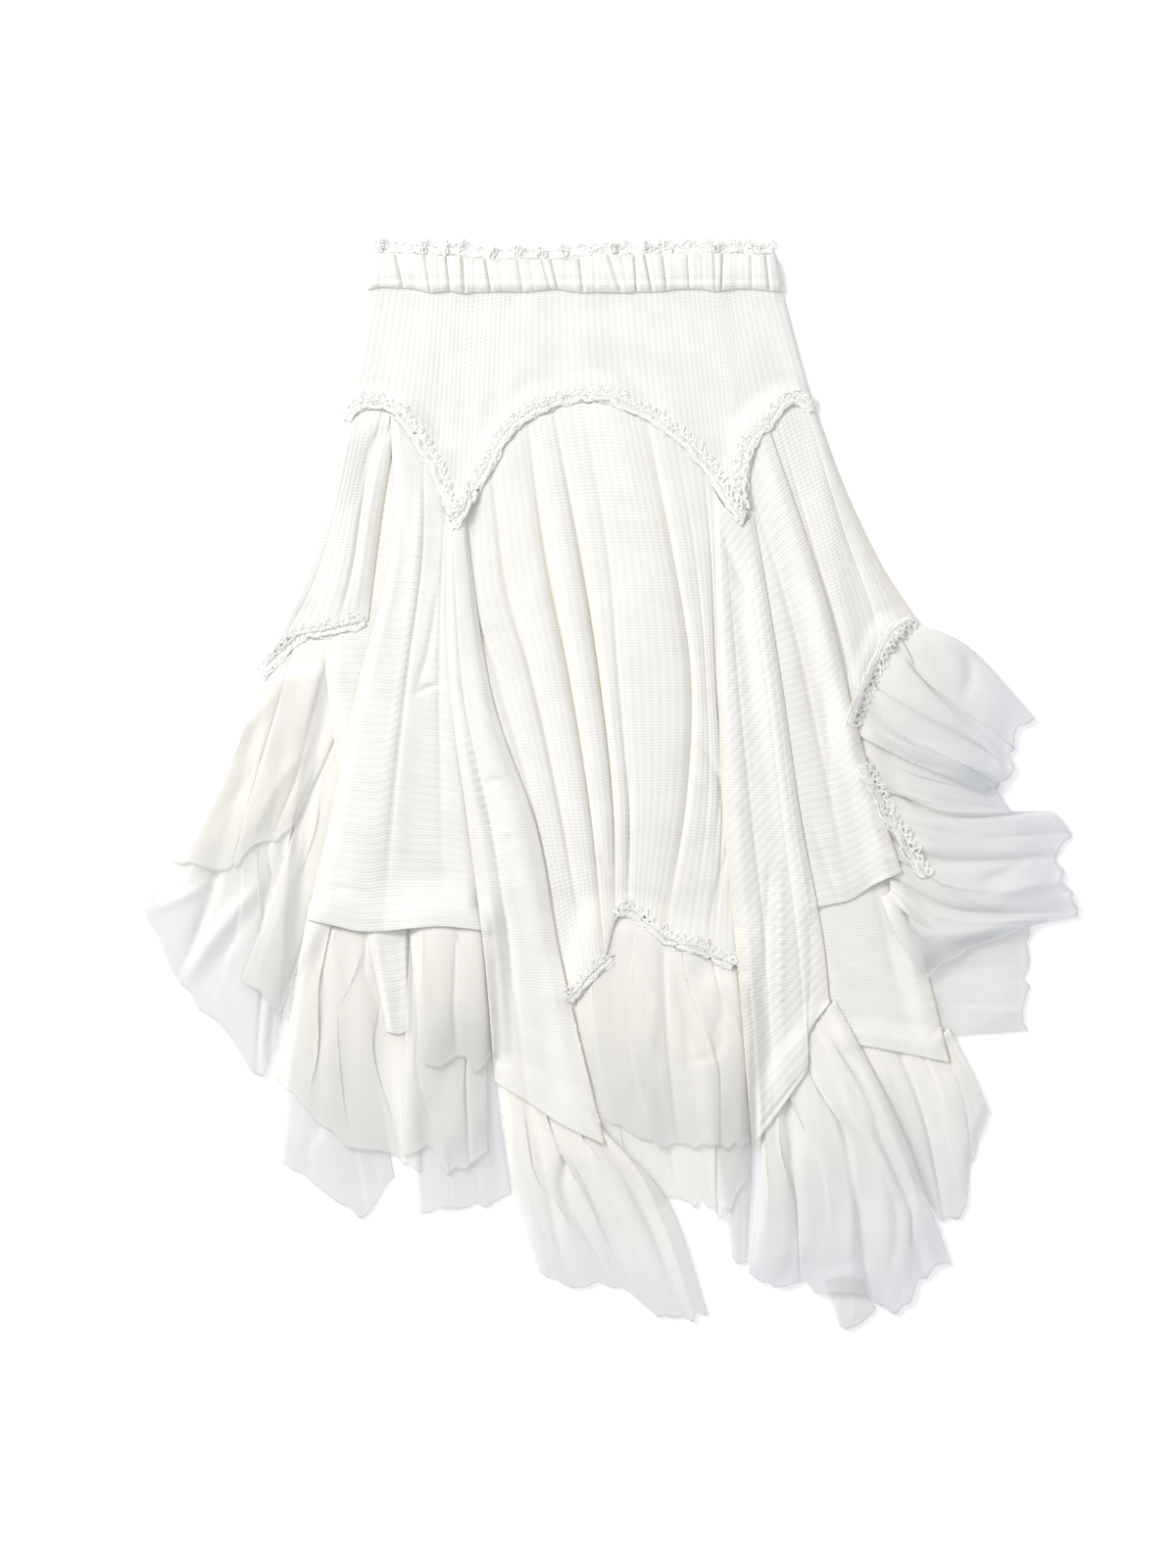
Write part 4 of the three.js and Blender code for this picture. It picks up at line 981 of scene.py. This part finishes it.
# %% Knife pleats
def knife_pleats(seed, pitch=31, fold=2.0, height=3.2, way=1):
    """How far the cloth shifts sideways and how high it rises, for places a across and b down."""
    turn = 0.17

    def pleats(a, b, from_side):
        wide = soft_noise(a / (2 * pitch), b / 110, seed)
        close = soft_noise(a / pitch, b / 60, seed + 2)
        phase = (a + pitch * (0.8 * wide + 0.3 * close)) / pitch * way
        strength = np.clip(0.55 + 0.75 * soft_noise(np.floor(phase + 0.5), b / 80, seed + 1), 0, 1)
        strength = strength * np.clip(from_side / (0.8 * pitch), 0, 1) * (1 - 0.5 * b / b.max())
        shift = -way * fold * strength * pitch * np.sin(2 * np.pi * phase) / (2 * np.pi)
        h = (phase + turn) % 1
        up = np.clip(h / (2 * turn), 0, 1)
        over = np.clip((h - 2 * turn) / (1 - 2 * turn), 0, 1)
        return shift, height * strength * ease(up) * (1 - ease(over))
    return pleats


# %% [markdown]
# The back goes down first, flat on the floor, with the ruffles that peep out from under the front. Only the
# lower end of its right gore shows here.

# %% Back of the skirt
WALL = 0.9
SHEER_WALL = 0.4
SHEER_STEP = (1.6, 2.6)
CASING_TOP = 260
CASING_BOTTOM = 300
FLAT = (0, 0, 0)
COARSE = (4, 4)
SEAM = [
    (350, 431), (362, 420), (376, 414), (394, 415), (405, 425), (420, 448), (438, 479), (451, 504),
    (465, 538), (480, 516), (494, 492), (507, 469), (523, 443), (541, 427), (563, 415), (590, 408),
    (621, 409), (646, 420), (675, 437), (700, 459), (720, 482), (736, 507), (757, 538), (763, 501),
    (766, 476), (774, 449), (790, 430), (803, 415), (817, 411), (832, 423),
]


def yoke_courses(tuck):
    """The yoke's courses fan out from the waist to the scalloped seam."""
    waist_middle = 587
    seam_middle = 592
    seam_in_view = 483
    fan = WAIST_IN_VIEW / seam_in_view
    rows = []
    for x, y in SEAM:
        head = waist_middle + (x - seam_middle) * fan
        rows.append((head, CASING_BOTTOM - tuck, (head + x) / 2, (CASING_BOTTOM + y) / 2, x, y, *FLAT))
    return rows


TUCK = ("top_x", "top_y", "bottom_x", "bottom_y", "depth")


def casing_courses(rows):
    """The casing's gathers: each row is a tuck, with a puff halfway to the next one."""
    tucks = np.array(rows, float)
    puffs = (tucks[:-1] + tucks[1:]) / 2
    puffs[:, TUCK.index("depth")] = 0
    courses = np.empty((len(tucks) + len(puffs), len(TUCK)))
    courses[0::2] = tucks
    courses[1::2] = puffs
    named = [dict(zip(TUCK, row, strict=True)) for row in courses]
    return [(c["top_x"], c["top_y"], (c["top_x"] + c["bottom_x"]) / 2, (c["top_y"] + c["bottom_y"]) / 2,
             c["bottom_x"], c["bottom_y"], c["depth"], c["depth"], c["depth"]) for c in named]


FLAT_TUCKS = [(x, CASING_TOP, foot_x, CASING_BOTTOM - 1, 0) for x, foot_x in (
    (377, 376), (520, 520), (660, 660), (792, 798))]


def lay_ruffle(name, seed, pleats, wrinkle=1.3, crown=(1, 4, 4), **look):
    """Lays a strip of chiffon from its gathered head to its raw hem."""
    lay_cloth(name, CHIFFON[name], crown, "chiffon", SHEER_WALL, SHEER_STEP, settle=3, held="gathered",
              hem=3.0, hem_rest=0.75, detail=gathers(seed, wrinkle), pleats=knife_pleats(seed, **pleats),
              **look)


lay_cloth("yoke_back", yoke_courses(2), FLAT, "rib_knit", WALL, COARSE, swell=0)
lay_cloth("waistband_back", casing_courses(FLAT_TUCKS), FLAT, "elastic_casing", 2, COARSE, swell=0)
lay_cloth("gore_back_centre", KNIT["gore_back_centre"], (0, 1, 1), "rib_knit", WALL, COARSE)
BACK_LOOK = ("depth", "cover_from")
BACK_RUFFLES = {
    "ruffle_left_low": (3.0, 0),
    "ruffle_left_point": (1.0, 0.7),
    "ruffle_left_gore_low": (1.0, 0.7),
    "ruffle_right_point": (1.0, 0.7),
    "ruffle_right_square": (1.0, 0.7),
}
for order, (name, row) in enumerate(BACK_RUFFLES.items()):
    look = dict(zip(BACK_LOOK, row, strict=True))
    # The back ruffles get a painted lightness too, a painted light on the same chiffon.
    lay_ruffle(name, 20 + order, {"pitch": 24, "fold": 1.6}, crown=(1, 2, 2), whiteness=0.4, **look)
lay_ruffle("ruffle_right_back", 31, {}, whiteness=0.35)
lay_cloth("gore_back_right", KNIT["gore_back_right"], (0, 2, 2), "rib_knit", WALL, (1.6, 1.1),
          ribs=ribs_fine)

# %% [markdown]
# The ruffles of the front are strips of chiffon, two to three times as long as the seam they are gathered
# on. They lie over each other in tiers, the lower ones first. The foot of the back's left gore lies between
# two of them.

# %% Ruffles
# Each row: the painted lightness, the depth of the folds, the pleat height in mm and where the sheer starts
# down the ruffle. The painted lightness is painted light: it makes some pieces lighter than others of the
# same chiffon.
LOOK = ("whiteness", "depth", "pleat_mm", "cover_from")
RUFFLES = {
    "ruffle_right_side": (0.12, 1.8, 3.0, 0),
    "ruffle_right_side_top": (0.1, 1.5, 2.6, 0),
    "ruffle_left_inner": (0.7, 0.7, 1.2, 0),
    "ruffle_left_side": (0.9, 0.4, 0.6, 0),
    "ruffle_left_gore": (0.8, 0.5, 0.8, 0),
    "ruffle_left_gore_mid": (0.7, 0.8, 1.6, 0.6),
    "ruffle_left_gore_top": (0.6, 0.5, 1.1, 0),
    "ruffle_centre_strip": (0.3, 1.0, 2.0, 0.6),
    "ruffle_centre_low": (0.75, 0.8, 1.6, 0.2),
    "ruffle_centre": (0.6, 0.7, 1.2, 0),
    "ruffle_centre_left": (0.4, 1.4, 2.2, 0),
    "ruffle_centre_right": (0.2, 1.5, 2.2, 0),
}
OVER_BACK_GORE = "ruffle_left_gore_mid"
for order, (name, row) in enumerate(RUFFLES.items()):
    if name == OVER_BACK_GORE:
        lay_cloth("gore_back_left", KNIT["gore_back_left"], (0, 0.6, 0.8), "rib_knit", WALL, (2, 1.2),
                  settle=6, ribs=ribs_across)
    look = dict(zip(LOOK, row, strict=True))
    pleats = {"height": look.pop("pleat_mm"), "way": 1 if order % 2 else -1}
    lay_ruffle(name, 40 + 3 * order, pleats, wrinkle=1.2 * look["depth"], **look)

# %% [markdown]
# The knit gores of the front roll over themselves where they hang loose: thick soft rolls with sharp
# valleys between them, and thin, flat hems.

# %% Gores
ALONG = (1, 2.5)
ACROSS = (2, 1.2)
GORE = ("crown", "step", "ribs", "depth", "sides", "settle", "hem_rest")
GORES = {
    "side_panel_left": ((1, 5, 3), ALONG, ribs_down, 0.6, (1, 1), 4, 0.9),
    "side_panel_right": ((1, 5, 3), ALONG, ribs_down, 0.6, (1, 1), 4, 0.85),
    "gore_left": ((1, 7, 4), ACROSS, ribs_across, 0.35, (0.7, 1), 9, 0.6),
    "gore_right": ((1, 6, 4), ACROSS, ribs_across, 0.45, (1, 1), 4, 0.6),
    "gore_centre": ((1, 12, 6), ALONG, ribs_down, 0.6, (0.35, 0.3), 4, 0.8),
    "gore_bias_left": ((1, 8, 4), (1.4, 1.4), ribs_bias(-35), 0.5, (0.5, 0.5), 4, 0.6),
    "gore_bias_right": ((1, 9, 4), (1.1, 1.1), ribs_bias(48, 0.34), 0.45, (0.3, 0.3), 4, 0.6),
}
for order, (name, row) in enumerate(GORES.items()):
    look = dict(zip(GORE, row, strict=True))
    lay_cloth(name, KNIT[name], finish="rib_knit", wall=WALL, seed=2 + order, **look)

# %% [markdown]
# The yoke lies over the heads of the gores.

# %% Yoke
lay_cloth("yoke_front", yoke_courses(9), (0.4, 1.4, 0.3), "rib_knit", 0.7, ALONG, ribs=ribs_down, seed=9,
          hem_rest=0.6)

# %% [markdown]
# The lace is a narrow crochet edging: two chains with a net between them and a row of scallops, each with a
# picot. It is built of threads, as tubes along curves, and laid along the seams on top of the cloth.

# %% Lace
LACE_MM = 13
LACE_HALF = LACE_MM / 2
THREAD = 0.55
NET_THREAD = (0.36, False, 1.6)
CHAIN_MM = 2.7
NET_MM = 2.2
CHAINS = ((1 - LACE_HALF, 0.7), (3.2 - LACE_HALF, 0.6), (0.7, 0.6))
NETS = ((1 - LACE_HALF, 3.2 - LACE_HALF), (3.2 - LACE_HALF, 0.5))
TAPE_AT = 4.0 - LACE_HALF


def follow(line):
    """A smooth curve through a line of places in the view: run, places and left normals, in millimetres."""
    points = np.stack(in_mm(*np.array(line, float).T), -1)
    chord = np.concatenate([[0], np.cumsum(np.sqrt(np.linalg.norm(np.diff(points, axis=0), axis=1)))])
    fine = curve_weights(chord, np.linspace(0, chord[-1], 1200)) @ points
    run = np.concatenate([[0], np.cumsum(np.linalg.norm(np.diff(fine, axis=0), axis=1))])
    tangent = np.gradient(fine, axis=0)
    tangent /= np.linalg.norm(tangent, axis=1, keepdims=True)
    return run, fine, np.stack([-tangent[:, 1], tangent[:, 0]], -1)


def tube(path, radius, closed=False, wide=1, sides=5):
    """Points and faces of a tube round a path, so many times wider than it is high."""
    ahead = np.roll(path, -1, 0) - np.roll(path, 1, 0) if closed else np.gradient(path, axis=0)
    ahead /= np.linalg.norm(ahead, axis=1, keepdims=True) + 1e-9
    beside = np.cross(ahead, [0, 0, 1.0])
    beside /= np.linalg.norm(beside, axis=1, keepdims=True) + 1e-9
    above = np.cross(beside, ahead)
    angle = np.arange(sides)[:, None] / sides * 2 * np.pi
    points = path[:, None] + radius * (
        wide * np.cos(angle) * beside[:, None] + np.sin(angle) * above[:, None])
    count = len(path)
    ring = np.arange(count if closed else count - 1)
    after = (ring + 1) % count
    faces = []
    for k in range(sides):
        n = (k + 1) % sides
        corners = [ring * sides + k, after * sides + k, after * sides + n, ring * sides + n]
        faces.append(np.stack(corners, -1))
    faces = np.concatenate(faces).tolist()
    if not closed:
        end = (count - 1) * sides
        faces += [list(range(sides)), list(range(end + sides - 1, end - 1, -1))]
    return points.reshape(-1, 3), faces


def lace(name, line, pitch=6.5, ruffle=0.0, bunches=(), lift=-0.25, seed=1):
    """An edging along a line, its scallops to the left of the way it runs."""
    run, places, normals = follow(line)
    total = run[-1]
    pitch = total / round(total / pitch)
    support = blur(spread(laid, 1), 2)
    bunches = [(centre - line[0][0]) * MM for centre in bunches]
    waves = 0.3 + 2.2 * ruffle

    def place(u, v):
        """Places of a thread u along the line and v to its left, on the cloth and a little uneven."""
        def waver(size, number, share=0.0):
            return soft_noise(u / size, u * 0 + share * v, seed + number)

        v = v * (1 + 0.15 * waver(7, 6)) + 0.7
        v = v + 1.2 * waver(4, 3, 0.5) + 1.1 * waver(13, 5)
        shift = 1.8 * waver(4, 4, 0.6)
        for centre in bunches:
            off = u - centre
            shift -= 0.45 * off * np.exp(-(off / 7) ** 2)
        out = (v + LACE_HALF) / LACE_MM
        lean = ruffle * 2.5 * waver(8, 2) * out
        w = np.clip(u + shift + lean, 0, total)
        x = np.interp(w, run, places[:, 0]) + np.interp(w, run, normals[:, 0]) * v
        y = np.interp(w, run, places[:, 1]) + np.interp(w, run, normals[:, 1]) * v
        z = height_at(support, x, y) + lift + 0.5 * THREAD
        z = z + waves * (0.5 + 0.5 * waver(4.5, 0)) * out
        return np.stack([x, y, z], -1)

    u = np.arange(0, total, 0.8)
    threads = [(place(u, TAPE_AT) - [0, 0, 0.45 * THREAD], 0.35 * THREAD, False, 19)]
    for v, swing in CHAINS:
        for way in (1, -1):
            threads.append((place(u, v + way * swing * np.sin(2 * np.pi * u / CHAIN_MM)), *NET_THREAD))
    zig = np.arange(0, total, NET_MM)
    for low, high in NETS:
        threads.append((place(zig, np.where(np.arange(len(zig)) % 2 == 0, low, high)), *NET_THREAD))
    turn = np.linspace(0, np.pi, 9)
    ring = np.linspace(0, 2 * np.pi, 7, endpoint=False)
    for n in range(round(total / pitch)):
        middle = (n + 0.5) * pitch
        wide = 0.48 * pitch
        tall = (LACE_HALF - 1.6) * (1 + 0.25 * math.sin(2.3 * n + seed))
        for scale in (1, 0.74):
            arc = place(middle - scale * wide * np.cos(turn), 0.7 + scale * tall * np.sin(turn))
            threads.append((arc, *NET_THREAD))
        picot = place(middle + 1.1 * np.cos(ring), 0.9 + tall + np.sin(ring))
        threads.append((picot, 0.9 * THREAD, True))
    rng = np.random.default_rng(seed)
    ring = np.linspace(0, 2 * np.pi, 12, endpoint=False)
    for centre in np.repeat(bunches, 4):
        loop = rng.uniform(1.2, 3.2) * (1 + 0.35 * np.sin(2 * ring + rng.uniform(0, 6)))
        path = place(centre + rng.uniform(-4, 4) + loop * np.cos(ring),
                     rng.uniform(-2, 6) + 1.4 * loop * np.sin(ring))
        path[:, 2] += rng.uniform(0.3, 1.8) + 0.4 * loop * np.sin(ring)
        threads.append((path, THREAD, True))
    points = []
    faces = []
    start = 0
    for thread in threads:
        more, made = tube(*thread)
        points.append(more)
        faces += [[k + start for k in face] for face in made]
        start += len(more)
    points = np.concatenate(points)
    mesh_object(name, points, faces, {}, "cotton_lace")
    raise_map(*points.T)
    print(f"{name}: {total:.0f} mm long, {len(threads)} threads, {len(points)} points")


# %% [markdown]
# At the waist the lace is sewn under the top of the casing, and it bunches where the elastic draws in.

# %% Waist
WAIST_LINE = [(379, 254), (440, 255), (500, 260), (560, 260), (606, 257), (690, 255), (790, 254)]
BUNCHES = (390, 430, 457, 470, 503, 530, 552, 574, 610, 627, 657, 674, 731, 771)
lace("lace_waist", WAIST_LINE, ruffle=1.0, bunches=BUNCHES, lift=0.1, seed=5)
TUCKS = [
    (377, 261, 375, 297, 0.8), (390, 260, 388, 294, 0.3), (404, 260, 412, 295, 2.0),
    (420, 260, 424, 296, 0.4), (434, 261, 440, 300, 1.6), (447, 262, 449, 299, 0.3),
    (455, 262, 459, 298, 2.2), (472, 263, 474, 301, 2.6), (484, 265, 484, 299, 0.3),
    (495, 265, 501, 299, 1.8), (512, 267, 513, 298, 0.4), (529, 265, 534, 299, 2.1),
    (541, 266, 545, 298, 0.6), (553, 265, 562, 296, 1.7), (562, 266, 569, 296, 1.7),
    (578, 266, 580, 298, 0.3), (591, 264, 595, 300, 2.5), (606, 262, 607, 299, 0.3),
    (621, 260, 635, 300, 2.2), (634, 262, 641, 300, 0.3), (647, 262, 649, 299, 1.9),
    (657, 260, 665, 299, 2.1), (676, 261, 680, 298, 2.1), (689, 260, 690, 296, 0.3),
    (701, 260, 703, 296, 1.2), (716, 260, 717, 296, 0.3), (729, 260, 730, 299, 1.8),
    (737, 259, 735, 298, 2.8), (751, 260, 751, 296, 0.3), (766, 260, 767, 296, 0.9),
    (781, 261, 785, 298, 2.5), (791, 261, 798, 298, 1.2),
]


SEAM_AT = 0.95
PUCKERS_AT = 0.84


def casing_detail(a, b, t):
    """The cloth sinks into the seam at its foot, with small puckers above the stitches."""
    sink = np.clip((t - SEAM_AT) / (1 - SEAM_AT), 0, 1)
    pinch = 0.5 + 0.5 * soft_noise(a / 3.2, b / 9, 77)
    return 0.4 * (1 - sink * sink) + 0.6 * pinch * np.exp(-((t - PUCKERS_AT) / 0.1) ** 2)


lay_cloth("waistband_front", casing_courses(TUCKS), (1.6, 3.2, 0.8), "elastic_casing", 0.5, (0.8, 1.1),
          settle=1, slit=0.4, hem_rest=0.95, hem_at=SEAM_AT, depth=1.7, detail=casing_detail,
          ribs=ribs_casing, swell=0.15, seed=11)

# %% [markdown]
# The same edging covers the arches and the hems of the gores.

# %% Lace on seams and hems
LACES = {
    "lace_side_hem_left": [(264, 688), (283, 668), (301, 651), (322, 645), (346, 640), (372, 633)],
    "lace_side_hem_right": [(933, 630), (906, 650), (893, 680), (879, 709), (868, 740)],
    "lace_gore_side_right": [(880, 780), (904, 828), (928, 866), (944, 896)],
    "lace_centre_hem": [(630, 927), (652, 934), (680, 957), (713, 967), (750, 985)],
    "lace_centre_point": [(580, 1020), (600, 997), (624, 976)],
    "lace_arch_left": [
        (352, 428), (362, 417), (376, 410), (394, 412), (409, 423), (426, 446), (445, 478), (464, 524),
    ],
    "lace_arch_right": [
        (759, 520), (756, 500), (757, 477), (768, 448), (786, 428), (800, 411), (817, 408), (831, 417),
    ],
    "lace_arch_centre": [
        (462, 538), (476, 515), (500, 470), (517, 441), (536, 424), (560, 412), (590, 404), (622, 405),
        (650, 417), (680, 435), (706, 457), (726, 481), (742, 507), (758, 530),
    ],
}
for order, (name, line) in enumerate(LACES.items()):
    lace(name, line, seed=60 + order)

# %% [markdown]
# Each knit or chiffon piece is a sheet. Its flat size is the width and length of its own surface, smoothed
# out, and its area is that surface's area, as it was drafted.

# %% Sheets and finish
for sheet in sheets:
    piece = sheet["piece"]
for name, piece in pieces.items():
    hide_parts(name)
total = sum(len(piece.data.polygons) for piece in pieces.values())
print(len(pieces), "pieces,", total, "faces")
